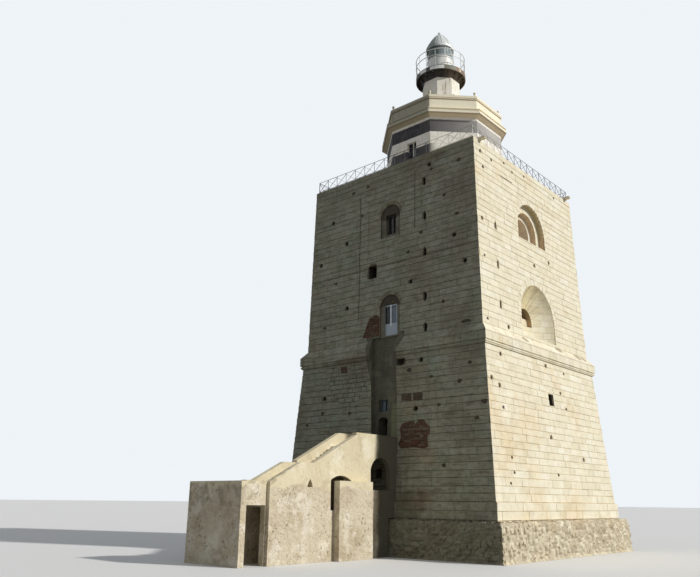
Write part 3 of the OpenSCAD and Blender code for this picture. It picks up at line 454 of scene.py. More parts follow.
def facing_stone(name, tones, grime_and_shade):
    """Separate stones, each with its own tone from the mesh attribute."""
    mat, shader, where = new_material(name)
    tone = Value(add(mat.node_tree, "ShaderNodeAttribute", attribute_name="tone").outputs["Fac"])
    soft = mottle(where, tone_ramp(tone, tones), scaled(tones[0], 0.68), 0.3, 0.3)
    shade_damp = sides(where)["ShadeDamp"]
    # On the shaded, damp sides single stones are much darker or paler than their neighbours
    odd = ramp(calc("FRACT", tone * 17.3), 0.55, 1.0)
    soft = blend(odd * shade_damp * 0.22, soft, (0.36, 0.31, 0.22))
    pits = pitting(where, 0.035)
    # Pits darkened with dirt and painted shade, more on the shaded sides
    dark = blend(pits["Pits"] * (shade_damp * 0.4 + 0.2), soft, (0.16, 0.13, 0.09))
    finish(shader, stone_weather(where, dark, grime_and_shade), pits["Height"], 0.012, 0.93)
    return mat


def damp_render(where):
    """Colour of the old damp render on the front."""
    x, y, z = split(where)
    colour = mottle(where, (0.13, 0.127, 0.09), (0.075, 0.07, 0.048), 0.6, 0.9)
    low = within(z, 3.1, 4.6, 0.1) * ramp(x, 0.2, 0.3)
    pale = patchy(where, 2.2, 5.0, 0.6, 0.56, 0.66)
    colour = blend(pale * 0.35, colour, (0.25, 0.24, 0.17))
    return blend(low, colour, (0.21, 0.215, 0.125))


def wall_core(name, half, foot, lean):
    """Mortar behind the stones, dressed stone in the niches, render in the recess, dark holes."""
    mat, shader, where = new_material(name)
    x, y, z = split(where)
    side = sides(where)
    depth = use("Face depth", Vector=where, Half_Width=half, Foot=foot, Lean=lean)["Depth"]
    normal = normal_at(where)
    course = use("Courses", Along=x + y, Level=z, Height=0.222, Length=0.42, Joint=0.014)
    stone = tone_ramp(course["Tone"], STONE_TONES)
    # Joints: a lit, lighter copy on the sunny side and a darker shaded copy elsewhere, painted light and
    # shade
    joint = blend(side["ShadeDamp"], (0.5, 0.41, 0.27), (0.24, 0.2, 0.14))
    laid = 0.35 - side["Sunny"] * within(z, 7.4, 8.9) * 0.22
    stone = blend(course["Joint Mask"] * laid, stone, joint)
    # Niches on the sides: heads and jambs turn brown, the plain back stays pale; the brown is partly stone
    # colour, partly painted shade
    turned = ramp(abs(normal[0]), 0.85, 0.35)
    soffit = tone_ramp(span(depth, 0.0, 1.0),
                       ((0.58, 0.48, 0.26), (0.76, 0.6, 0.4), (0.95, 0.84, 0.7), (0.8, 0.68, 0.46)),
                       (0.0, 0.205, 0.395, 0.72), "CONSTANT")
    soffit = blend(ramp(z, 11.1, 10.7) * ramp(depth, 0.41, 0.38) * 0.6, soffit, (0.68, 0.46, 0.32))
    # Painted shade on the left of the innermost order
    inmost_shade = ramp(depth, 0.38, 0.42) * ramp(z, 11.0, 11.3) * ramp(y, 0.1, -0.3)
    soffit = blend(inmost_shade * 0.8, soffit, (0.2, 0.16, 0.09))
    order = turned * within(z, 10.3, 12.0)
    stone = blend(order * 0.9, stone, soffit)
    # The little light's reveal: brown, darker towards the top, painted shade
    light = turned * ramp(depth, 0.45, 0.5) * within(z, 7.3, 8.2) * within(y, -0.55, 0.55)
    stone = blend(light, stone, blend(ramp(z, 8.0, 7.6), (0.3, 0.23, 0.13), (0.56, 0.4, 0.25)))
    conch = ramp(z, 7.1, 8.1) * within(z, 6.9, 8.9) * (1.0 - side["Front"]) * (1.0 - light)
    # Painted shade in the conch, darker towards the top and the front, with streaks that fan out from the
    # head of the little light
    fan = calc("ARCTAN2", z - 7.5, y + 0.1)
    fan = ramp(noise(join_xyz(fan * 3.2, depth * 0.8), 2.0, 3.0), 0.46, 0.58)
    stone = blend(conch * ramp(y, 1.3, -0.2) * 0.62, stone,
                  blend(fan, (1.0, 0.9, 0.62), (0.58, 0.48, 0.26)), "MULTIPLY")
    # Mortar: a lit, lighter copy on the sunny side and a darker shaded copy elsewhere, painted light and
    # shade
    mortar = blend(side["ShadeDamp"], (0.7, 0.6, 0.42), (0.34, 0.29, 0.2))
    mortar = mottle(where, mortar, (0.22, 0.175, 0.11), 0.3, 0.45)
    # Darker mortar in the broken area left of the recess: painted shade in its crevices
    rough = side["Front"] * within(x, -2.5, -0.6, 0.1) * within(z, 4.4, 6.14, 0.05)
    mortar = blend(rough * 0.5, mortar, (0.12, 0.1, 0.065))
    render = damp_render(where)
    inside = ramp(depth, 0.004, 0.012)
    bay = side["Front"] * within(x, -0.7, 0.7)
    recess = bay * (z < 6.87)
    # Reveals of the front bays: dark brown, partly painted shade
    reveal = mottle(where, (0.36, 0.29, 0.19), (0.16, 0.12, 0.07), 0.25, 0.8)
    open_colour = blend(bay, stone, reveal)
    open_colour = blend(recess, open_colour, render)
    # The entrance's left reveal keeps its whitewash
    wash = recess * within(x, -0.33, -0.26, 0.02) * within(z, 3.1, 5.3, 0.05)
    open_colour = blend(wash, open_colour, (0.55, 0.56, 0.52))
    niche = most(within(y, -1.35, 1.35) * within(z, 6.8, 9.0), within(y, -1.1, 1.1) * within(z, 10.3, 12.1))
    niche = most(niche * (1.0 - side["Front"]), bay)
    # Soot and painted shade inside the holes and deep in the openings
    hole_soot_and_shade = ramp(depth, 0.02, 0.05) * (1.0 - niche)
    hole_soot_and_shade = most(hole_soot_and_shade, ramp(depth, 1.25, 1.35))
    open_colour = blend(hole_soot_and_shade, open_colour, (0.1, 0.075, 0.05))
    colour = blend(inside, mortar, open_colour)
    coat = use("Render coat", Vector=where)["Mask"] * (1.0 - inside)
    pits = pitting(where, 0.04)["Height"]
    height = pits - course["Joint Mask"] * inside
    colour = blend(recess * inside, stone_weather(where, colour, 0.4), render)
    # The walls' tops, walked on round the terrace
    top = ramp(normal[2], 0.7, 0.9) * ramp(z, TERRACE - 0.04, TERRACE - 0.02)
    trodden = mottle(where, (0.6, 0.54, 0.42), (0.36, 0.31, 0.23), 0.5, 0.7)
    colour = blend(top, colour, trodden)
    finish(shader, blend(coat, colour, render), height, 0.012, 0.95)
    return mat


def paving(name, tones):
    """Flat stone paving: slabs, joints, lichen and water stains."""
    mat, shader, where = new_material(name)
    x, y, z = split(where)
    course = use("Courses", Along=x, Level=y + 40.0, Height=0.4, Length=0.55, Joint=0.012)
    colour = layered(
        mottle(where, tone_ramp(course["Tone"], tones), (0.34, 0.3, 0.22), 0.7, 0.5), "MIX",
        # Stains, lichen, joints
        (patchy(where, 1.1, 6.0, 0.65, 0.5, 0.68) * 0.5, (0.24, 0.21, 0.16)),
        (patchy(where, 7.0, 5.0, 0.7, 0.62, 0.7) * 0.4, (0.62, 0.59, 0.46)),
        (course["Joint Mask"] * 0.6, (0.26, 0.22, 0.16)))
    finish(shader, colour, pitting(where, 0.05)["Height"] - course["Joint Mask"], 0.008, 0.93)
    return mat


def coursed_finish(name, tones, height, length, grime_and_shade):
    """Dressed stone on a plain solid, with its joints and tones drawn by the shader."""
    mat, shader, where = new_material(name)
    x, y, z = split(where)
    course = use("Courses", Along=x + y, Level=z, Height=height, Length=length, Joint=0.012)
    side = sides(where)
    pits = pitting(where, 0.035)
    colour = layered(
        mottle(where, tone_ramp(course["Tone"], tones), (0.52, 0.44, 0.29), 0.4, 0.4), "MIX",
        # Joints lighter on the sunny side, darker on the shaded ones: painted light and shade
        (course["Joint Mask"] * 0.75, blend(side["ShadeDamp"], (0.50, 0.42, 0.29), (0.25, 0.21, 0.145))),
        # Pits darkened with dirt and painted shade
        (pits["Pits"] * 0.4, (0.24, 0.19, 0.12)))
    broken = spots(y, z, BROKEN_COURSE, noise(where, 3.5, 5.0, 0.65)) * side["Sunny"]
    colour = layered(
        stone_weather(where, colour, grime_and_shade), "MIX",
        (use("Render coat", Vector=where)["Mask"], damp_render(where)),
        (broken * 0.7, (0.3, 0.22, 0.12)))
    finish(shader, colour, pits["Height"] - course["Joint Mask"], 0.012, 0.93)
    return mat


def banded_render():
    """Octagon walls: dark and white bands, faded where the sun reaches, with fine joints and chips."""
    mat, shader, where = new_material("Banded octagon render")
    x, y, z = split(where)
    level = z + (noise(where, 9.0, 3.0) - 0.5) * 0.03
    sunny = sunward(where)
    white = mottle(where, (0.97, 0.95, 0.89), (0.8, 0.74, 0.62), 0.5, 0.45)
    faded = profile(sunny, ((-1.0, 0.0), (-0.1, 0.0), (0.424, 0.4), (0.94, 1.0), (1.0, 1.0)))
    dark = blend(faded, (0.04, 0.04, 0.05), (0.5, 0.49, 0.475))
    dark = mottle(where, dark, (0.2, 0.19, 0.18), 0.4, 0.25)
    upper = within(level, TERRACE + 1.755, TERRACE + 2.265, 0.004)
    left = most(ramp(sunny, 0.18, -0.02), ramp(sunny, 0.9, 0.93) * within(y, -0.5, 0.15) * 0.7)
    lower = within(level, TERRACE + 0.745, TERRACE + 1.255, 0.004) * left
    colour = blend(most(upper, lower), white, dark)
    foot = ramp(level, TERRACE + 0.75, TERRACE + 0.3) * ramp(noise(where, 3.0, 5.0), 0.4, 0.6)
    colour = blend(foot * 0.6, colour, (0.4, 0.33, 0.24))
    chips = patchy(where, 14.0, 5.0, 0.7, 0.66, 0.72)
    colour = blend(chips * 0.5, colour, (0.5, 0.44, 0.34))
    around = calc("ARCTAN2", y, x) * 2.2
    course = use("Courses", Along=around, Level=level - (TERRACE + 0.235), Height=0.255, Length=0.36,
                 Joint=0.009)
    colour = blend(course["Joint Mask"] * 0.3, colour, (0.36, 0.31, 0.25))
    colour = blend(streaks(where, 0.07, 0.8, 0.5), colour, (0.25, 0.2, 0.14))
    relief = pitting(where, 0.03)["Height"] - course["Joint Mask"] * 0.6
    finish(shader, colour, relief, 0.006, 0.88)
    return mat


def render_coat(name, colour, patch, stain, size=0.6, amount=0.5, washed=0.5, shade=(0.5, 0.5, 0.5),
                line=None, dull=None):
    """Lime render: mottled, streaked, slightly uneven, with painted shade on the undersides and a painted
    shadow line along one level.
    """
    mat, shader, where = new_material(name)
    base = mottle(where, colour, patch, size, amount)
    base = blend(streaks(where, 0.09, 0.9, washed), base, stain)
    base = blend(patchy(where, 22.0, 4.0, 0.7, 0.62, 0.74) * 0.35, base, stain)
    # Painted shade on the undersides
    base = blend(ramp(normal_at(where)[2], -0.2, -0.7) * 0.8, base, shade)
    # Painted shadow line along one level, under a moulding
    if line:
        base = blend(within(split(where)[2], *line, 0.006), base, scaled(shade, 0.7))
    if dull:
        # Painted shade on the faces turned away from the sun
        base = blend(ramp(sunward(where), 0.07, 0.02), base, dull, "MULTIPLY")
    finish(shader, base, pitting(where, 0.05)["Height"], 0.006, 0.9)
    return mat


def bay_render():
    """Infill of the two bays: olive render below, brown and broken in the heads."""
    mat, shader, where = new_material("Bay render")
    base = mottle(where, (0.2, 0.195, 0.145), (0.11, 0.1, 0.07), 0.35, 0.8)
    level = split(where)[2] + (noise(where, 6.0, 5.0, 0.6) - 0.5) * 0.25
    head = most(within(level, 7.93, 8.5, 0.03), within(level, 11.15, 11.9, 0.03))
    brown = mottle(where, (0.072, 0.062, 0.042), (0.028, 0.024, 0.017), 0.2, 0.9)
    light = patchy(where, 5.0, 5.0, 0.7, 0.6, 0.66)
    brown = blend(light * 0.7, brown, (0.26, 0.21, 0.11))
    colour = blend(head, base, brown)
    colour = blend(streaks(where, 0.06, 0.7, 0.8), colour, (0.09, 0.08, 0.055))
    finish(shader, colour, pitting(where, 0.05)["Height"], 0.012, 0.94)
    return mat


def stair_plaster():
    """Cream plaster that has fallen off low down, where rubble and pinkish mortar show; painted shade by the
    tower, where its shadow falls.
    """
    mat, shader, where = new_material("Stair plaster")
    x, y, z = split(where)
    plaster = mottle(where, (0.78, 0.7, 0.5), (0.64, 0.55, 0.36), 0.8, 0.5)
    stones = node("ShaderNodeTexVoronoi", {"Vector": where, "Scale": 6.5, "Randomness": 0.9}, "Distance",
                  feature="DISTANCE_TO_EDGE")
    rubble = layered(
        mottle(where, (0.7, 0.62, 0.47), (0.45, 0.36, 0.24), 0.9, 0.85), "MIX",
        # Mortar in the gaps, washed and rotten places
        (ramp(stones, 0.1, 0.02) * 0.15, (0.74, 0.66, 0.56)),
        (patchy(where, 1.7, 5.0, 0.6, 0.52, 0.62) * 0.75, (0.84, 0.76, 0.66)),
        (patchy(where, 3.1, 6.0, 0.7, 0.6, 0.68) * 0.6, (0.38, 0.28, 0.17)))
    fallen = ramp(z + (noise(where, 1.3, 5.0, 0.6) - 0.5) * 0.5, 1.95, 1.87)
    bare = most(fallen * 0.9, patchy(where, 0.9, 6.0, 0.65, 0.66, 0.7) * 0.5)
    pocks = patchy(where, 12.0, 5.0, 0.7, 0.56, 0.62) * ramp(noise(where, 1.9, 3.0), 0.46, 0.58)
    rise = z - least(4.0, 3.95 + (y + 6.0) * 0.6)
    dirty = within(rise, -0.07, 0.5, 0.03) * ramp(noise(where, 5.0, 5.0), 0.42, 0.6)
    colour = layered(
        blend(bare, plaster, rubble), "MIX",
        # Specks, pale clouds, worn places
        (patchy(where, 9.0, 6.0, 0.78, 0.58, 0.68) * 0.75, (0.38, 0.3, 0.19)),
        (patchy(where, 1.4, 6.0, 0.7, 0.52, 0.66) * 0.6, (0.92, 0.87, 0.72)),
        (patchy(where, 2.3, 6.0, 0.72, 0.55, 0.66) * 0.5, (0.5, 0.42, 0.27)),
        # Pocks low down, dirt along the parapet, painted shadow beside the tower
        (pocks * fallen * 0.75, (0.2, 0.15, 0.09)),
        (dirty * 0.5, (0.3, 0.25, 0.16)),
        (ramp(y + noise(where, 2.5, 4.0) * 0.3, -4.95, -4.75) * 0.95, (0.115, 0.105, 0.072)))
    bumps = ramp(stones, 0.0, 0.2) * bare * 0.7
    finish(shader, colour, pitting(where, 0.05)["Height"] + bumps, 0.014, 0.93)
    return mat


def gallery_rim():
    """Gallery slab: black below, white paint left on parts of the rim, rust between them."""
    mat, shader, where = new_material("Gallery rim paint")
    x, y, z = split(where)
    turn = calc("DEGREES", calc("ARCTAN2", y, x)) + noise(where, 7.0, 3.0) * 4.0
    # Iron: near black away from the sun, rust-brown towards it; partly rust, partly painted light
    iron = blend(ramp(sunward(where), 0.35, 0.7), (0.028, 0.027, 0.026), (0.2, 0.155, 0.11))
    iron = mottle(where, iron, (0.085, 0.058, 0.04), 0.25, 0.5)
    paint = tone_ramp(span(turn, -180.0, 180.0), [colour for angle, colour in RIM_PAINT],
                      [(angle + 180.0) / 360.0 for angle, colour in RIM_PAINT], "CONSTANT")
    face = ramp(abs(normal_at(where)[2]), 0.6, 0.3) * within(z, GALLERY_TOP - 0.17, GALLERY_TOP - 0.02)
    colour = blend(face, iron, paint)
    colour = blend(streaks(where, 0.03, 0.4, 0.8), colour, (0.1, 0.065, 0.045))
    finish(shader, colour, noise(where, 50.0, 3.0), 0.002, 0.65)
    return mat


def painted_metal(name, colour, rust, amount, rough=0.5):
    """Painted ironwork with rust along drips and in patches."""
    mat, shader, where = new_material(name)
    mask = most(patchy(where, 6.0, 6.0, 0.65, 0.55, 0.68), streaks(where, 0.04, 0.5, 1.0)) * amount
    base = mottle(where, colour, scaled(colour, 0.7), 0.3, 0.4)
    finish(shader, blend(mask, base, rust), noise(where, 60.0, 3.0) + mask * 1.2, 0.002,
           mask * 0.35 + rough)
    return mat


def dome_metal():
    """Weathered grey dome with pale ribs, painted dark grey-green as shade on the side away from the sun."""
    mat, shader, where = new_material("Dome sheet metal", metallic=0.2)
    x, y, z = split(where)
    panel_turn = math.tau / 12
    turn = calc("ARCTAN2", y, x) / panel_turn
    from_rib = abs(calc("FRACT", turn) - 0.5) * calc("SQRT", x * x + y * y) * panel_turn
    pale = most(ramp(from_rib, 0.016, 0.011), ramp(z, DOME_FOOT + 0.05, DOME_FOOT + 0.03))
    panel = node("ShaderNodeTexWhiteNoise", {"W": calc("FLOOR", turn + 0.5)}, "Value",
                 noise_dimensions="1D")
    # Painted shade on the side away from the sun, ribs included
    shaded = ramp(sunward(where), 0.35, -0.25)
    colour = layered(
        tone_ramp(panel, ((0.62, 0.66, 0.65), (0.8, 0.84, 0.83), (0.7, 0.74, 0.73))), "MIX",
        (shaded, (0.165, 0.19, 0.18)),
        (streaks(where, 0.03, 0.4, 0.8), (0.16, 0.18, 0.15)),
        (patchy(where, 9.0, 5.0, 0.6, 0.5, 0.65) * 0.35, (0.42, 0.44, 0.4)),
        (pale, blend(shaded, (0.9, 0.92, 0.91), (0.3, 0.35, 0.33))))
    finish(shader, colour, noise(where, 30.0, 3.0), 0.003, 0.55)
    return mat


def joinery():
    """Window frames: near black above, grey-blue at the entrance, a pale bar in the terrace door."""
    mat, shader, where = new_material("Old window paint")
    x, y, z = split(where)
    colour = tone_ramp(span(z, 4.0, 15.0),
                       ((0.075, 0.09, 0.1), (0.5, 0.52, 0.5), (0.05, 0.042, 0.032),
                        (0.035, 0.04, 0.055), (0.035, 0.04, 0.055)), (0.0, 0.22, 0.5, 0.8, 1.0), "CONSTANT")
    bar = within(z, TERRACE, TERRACE + 2.2) * within(x, 0.005, 0.075, 0.004)
    colour = blend(bar, colour, (0.62, 0.62, 0.58))
    colour = blend(patchy(where, 16.0, 6.0, 0.7, 0.6, 0.66) * 0.5, colour, (0.24, 0.2, 0.15))
    finish(shader, colour, noise(where, 40.0, 4.0), 0.003, 0.6)
    return mat


def clear_glass(name, tint, pale=None):
    """Dusty window glass."""
    mat, shader, where = new_material(name, IOR=1.45, Specular_IOR_Level=0.2, Transmission_Weight=0.45)
    dust = patchy(where, 5.0, 5.0, 0.6, 0.4, 0.8)
    base = blend(dust, tint, tuple(0.8 * c + 0.04 for c in tint))
    if pale:
        # Painted sky reflection on the entrance pane and the upper door's right pane
        x, y, z = split(where)
        bright = most(ramp(z, 6.2, 6.0), within(z, 6.9, 8.4) * ramp(x, 0.11, 0.14))
        base = blend(bright, base, pale)
    else:
        # Painted shade: the lantern glass darker and greener away from the sun
        base = blend(ramp(sunward(where), 0.5, -0.3), base, (0.14, 0.19, 0.16))
    feed(shader.inputs["Base Color"], base)
    feed(shader.inputs["Roughness"], dust * 0.25 + 0.06)
    return mat


def lantern_sash():
    """Lantern bars: dull grey-green on the shaded side, pale where the sun falls."""
    mat, shader, where = new_material("Lantern bar paint")
    colour = layered(
        (0.62, 0.66, 0.65), "MIX",
        (ramp(sunward(where), 0.6, -0.1), (0.15, 0.19, 0.165)),
        (patchy(where, 9.0, 5.0, 0.65, 0.58, 0.68) * 0.4, (0.2, 0.14, 0.1)))
    finish(shader, colour, noise(where, 60.0, 3.0), 0.002, 0.5)
    return mat


def door_paint():
    """Grey-blue paint of the upper door with a bright bar where the leaves meet."""
    mat, shader, where = new_material("Grey-blue door paint")
    x, y, z = split(where)
    grain = noise(join_xyz(x * 60.0, y * 60.0, z * 3.0), 1.0, 4.0, 0.6)
    flakes = patchy(where, 16.0, 6.0, 0.7, 0.6, 0.66)
    colour = layered(
        (0.44, 0.51, 0.58), "MIX",
        (grain * 0.35, (0.27, 0.31, 0.35)),
        # The left leaf is darker, the bar bright
        (ramp(x, -0.04, -0.12), (0.16, 0.17, 0.14)),
        (within(x, 0.085, 0.165, 0.01) * ramp(z, 7.2, 7.3), (0.8, 0.87, 0.93)),
        (flakes * 0.5, (0.33, 0.3, 0.25)))
    finish(shader, colour, grain - flakes, 0.003, 0.6)
    return mat


def railing_paint():
    """Terrace railing: blue-grey, painted pale as sunlight round the near corner of the terrace."""
    mat, shader, where = new_material("Terrace railing paint")
    x, y, z = split(where)
    near = ramp(x, -0.3, 0.1) * ramp(y, -1.3, -1.7)
    colour = layered(
        (0.15, 0.19, 0.25), "MIX",
        # Painted light on the sunny near corner
        (near, (0.72, 0.7, 0.64)),
        (near * ramp(z, TERRACE + 0.2, TERRACE + 0.3) * ramp(x, 2.4, 2.8), (0.4, 0.38, 0.37)),
        # Dark before the dark bands of the octagon
        (within(x, -0.25, 1.8, 0.05) * ramp(y, -3.2, -3.3), (0.045, 0.045, 0.05)),
        (patchy(where, 6.0, 6.0, 0.65, 0.58, 0.68) * 0.35, (0.22, 0.16, 0.12)))
    finish(shader, colour, noise(where, 60.0, 3.0), 0.002, 0.55)
    return mat


def build_materials():
    """All finishes by name."""
    build_shader_groups()
    return {
        "facing": facing_stone("Weathered facing stone", STONE_TONES, 0.9),
        "voussoir": facing_stone("Arch stones", STONE_TONES[1:], 0.4),
        "brick": facing_stone("Red infill brick", (
            (0.22, 0.075, 0.045), (0.33, 0.11, 0.06), (0.13, 0.06, 0.04), (0.26, 0.09, 0.05),
            (0.50, 0.38, 0.28), (0.24, 0.08, 0.05)), 0.6),
        "brown": facing_stone("Brown infill", (
            (0.22, 0.15, 0.09), (0.30, 0.21, 0.13), (0.16, 0.11, 0.065), (0.40, 0.31, 0.2)), 0.6),
        "patch": facing_stone("Patching rubble", (
            (0.66, 0.56, 0.40), (0.48, 0.36, 0.25), (0.78, 0.70, 0.52), (0.55, 0.42, 0.30)), 0.5),
        "hollow": render_coat("Shadowed hollows", (0.055, 0.045, 0.03), (0.10, 0.08, 0.05),
                              (0.04, 0.03, 0.02)),
        "rubble": facing_stone("Footing rubble", (
            (0.56, 0.49, 0.36), (0.74, 0.66, 0.50), (0.50, 0.43, 0.31), (0.84, 0.78, 0.62)), 0.4),
        "lower_core": wall_core("Lower stage core", *STAGES["lower"]),
        "upper_core": wall_core("Upper stage core", *STAGES["upper"]),
        "course": coursed_finish("String course stone", STONE_TONES, 0.5, 0.62, 0.9),
        "mortar": coursed_finish("Plinth mortar", ((0.50, 0.42, 0.29), (0.60, 0.50, 0.35)), 0.3, 0.4, 0.5),
        "deck": paving("Terrace paving", ((0.56, 0.51, 0.41), (0.64, 0.59, 0.48), (0.60, 0.54, 0.43))),
        "steps": paving("Stair treads", ((0.86, 0.80, 0.66), (0.94, 0.88, 0.74), (0.80, 0.74, 0.60))),
        "banded": banded_render(),
        "ochre": render_coat("Cream render", (0.98, 0.93, 0.75), (0.88, 0.80, 0.60), (0.48, 0.40, 0.27),
                             0.7, 0.4, 0.4, shade=(0.56, 0.43, 0.27), dull=(0.49, 0.49, 0.48),
                             line=(PARAPET_TOP - 0.125, PARAPET_TOP - 0.095)),
        "cornice": render_coat("Cornice render", (0.98, 0.94, 0.77), (0.88, 0.79, 0.59), (0.48, 0.40, 0.27),
                               0.7, 0.4, 0.35, shade=(0.88, 0.72, 0.50), dull=(0.52, 0.53, 0.52),
                               line=(OCTAGON_TOP + 0.075, OCTAGON_TOP + 0.115)),
        "white": render_coat("Drum render", (0.97, 0.95, 0.87), (0.78, 0.71, 0.53), (0.30, 0.24, 0.15),
                             0.35, 0.5, 1.0),
        "infill": bay_render(),
        "plaster": stair_plaster(),
        "lantern": painted_metal("White lantern paint", (0.86, 0.87, 0.85), (0.42, 0.30, 0.2), 0.25, 0.45),
        "sash": lantern_sash(),
        "rim": gallery_rim(),
        "railing": railing_paint(),
        "dome": dome_metal(),
        "ball": painted_metal("Vent paint", (0.72, 0.73, 0.70), (0.36, 0.33, 0.27), 0.5, 0.5),
        "door": door_paint(),
        "frame": joinery(),
        "glass": clear_glass("Dark window glass", (0.03, 0.035, 0.04), (0.27, 0.33, 0.39)),
        "lantern_glass": clear_glass("Lantern glass", (0.42, 0.50, 0.54)),
    }


# Pieces

def saved(bm, name):
    mesh = bpy.data.meshes.new(name)
    bm.to_mesh(mesh)
    bm.free()
    return mesh


def placed(name, content):
    """An object in the scene for a mesh, a light or a camera."""
    made = bpy.data.objects.new(name, content)
    bpy.context.scene.collection.objects.link(made)
    return made


def closed_mesh(rings, name):
    """A closed mesh through rings of points: each joined to the next, and both ends filled."""
    bm = bmesh.new()
    rings = [[bm.verts.new(point) for point in ring] for ring in rings]
    bm.faces.new(rings[0])
    for first, second in zip(rings, rings[1:]):
        for k in range(len(first)):
            bm.faces.new((first[k - 1], first[k], second[k], second[k - 1]))
    bm.faces.new(rings[-1])
    bmesh.ops.recalc_face_normals(bm, faces=bm.faces)
    return saved(bm, name)


def slab(outline, stage, side, low, high):
    """A closed prism between two planes parallel to a leaning face, low and high metres out of it."""
    half, foot, lean = STAGES[stage]
    rings = []
    for out in (low, high):
        reaches = [half - (level - foot) * lean + out for across, level in outline]
        if side == "front":
            rings.append([(across, -reach, level) for reach, (across, level) in zip(reaches, outline)])
        else:
            turn = 1 if side == "right" else -1
            rings.append([(turn * reach, across, level) for reach, (across, level) in zip(reaches, outline)])
    return closed_mesh(rings, "slab")


def prism(outline, axis, low, high):
    """A closed prism for cutting. The outline holds (across, level) pairs; axis is its length."""
    return closed_mesh([[(a, end, z) if axis == "y" else (end, a, z) for a, z in outline]
                        for end in (low, high)], "cutter")


def rectangle(x, z, width, height):
    left, right, low, high = x - width / 2, x + width / 2, z - height / 2, z + height / 2
    return [(left, low), (right, low), (right, high), (left, high)]


def arch(x, sill, crown, half, rise, steps=16):
    """Outline of an opening with an arched head."""
    radius = (half * half + rise * rise) / (2 * rise)
    sweep = math.asin(min(1.0, half / radius))
    angles = [sweep * (1 - 2 * k / steps) for k in range(steps + 1)]
    return [(x - half, sill), (x + half, sill)] + [
        (x + radius * math.sin(angle), crown - radius + radius * math.cos(angle)) for angle in angles]


def blob(x, z, width, height, seed, points):
    """A ragged outline of a hollow."""
    ring = []
    for k in range(points):
        angle = math.tau * k / points
        wobble = 1 + 0.16 * math.sin(3 * angle + seed) + 0.10 * math.sin(5 * angle + 2 * seed)
        ring.append((x + width / 2 * wobble * math.cos(angle), z + height / 2 * wobble * math.sin(angle)))
    return ring


def hollows(places, growth):
    """Ragged outlines of the small hollows."""
    return [blob(across, level, growth * wide, growth * tall, 2.3 * number, 9)
            for number, (across, level, wide, tall) in enumerate(places)]


def wedge_ring(centre, spring, inner, outer, sweep, count, side, proud):
    """The wedge stones of an arch on the upper stage, with a joint between neighbours."""
    stones = []
    for k in range(count):
        low = -sweep + 2 * sweep * (k + 0.04) / count
        high = -sweep + 2 * sweep * (k + 0.96) / count
        outline = [(centre + radius * math.sin(angle), spring + radius * math.cos(angle))
                   for radius, angle in ((inner, low), (inner, high), (outer, high), (outer, low))]
        stones.append(slab(outline, "upper", side, -0.05, proud - 0.004 * (k % 3)))
    return stones


def merged(meshes):
    """One cutting object from several closed meshes, or None if there are none."""
    if not meshes:
        return None
    bm = bmesh.new()
    for mesh in meshes:
        bm.from_mesh(mesh)
        bpy.data.meshes.remove(mesh)
    return placed("cutter", saved(bm, "cutter"))


def block_stone(bevel_across=0.005, bevel_up=0.035, bevel_out=0.35):
    """A unit stone with a chamfered face. Its back lies at 0 and its face at -1 along Y."""
    rings = []
    for inset_x, inset_z, y in ((0, 0, 0), (0, 0, bevel_out - 1), (bevel_across, bevel_up, -1)):
        x, z = 0.5 - inset_x, 0.5 - inset_z
        rings.append([(-x, y, -z), (x, y, -z), (x, y, z), (-x, y, z)])
    return placed("stone block", closed_mesh(rings, "stone block"))


def random_value(ident, low, high, seed):
    return node("FunctionNodeRandomValue", {2: low, 3: high, 7: ident, 8: seed}, 1, data_type="FLOAT")


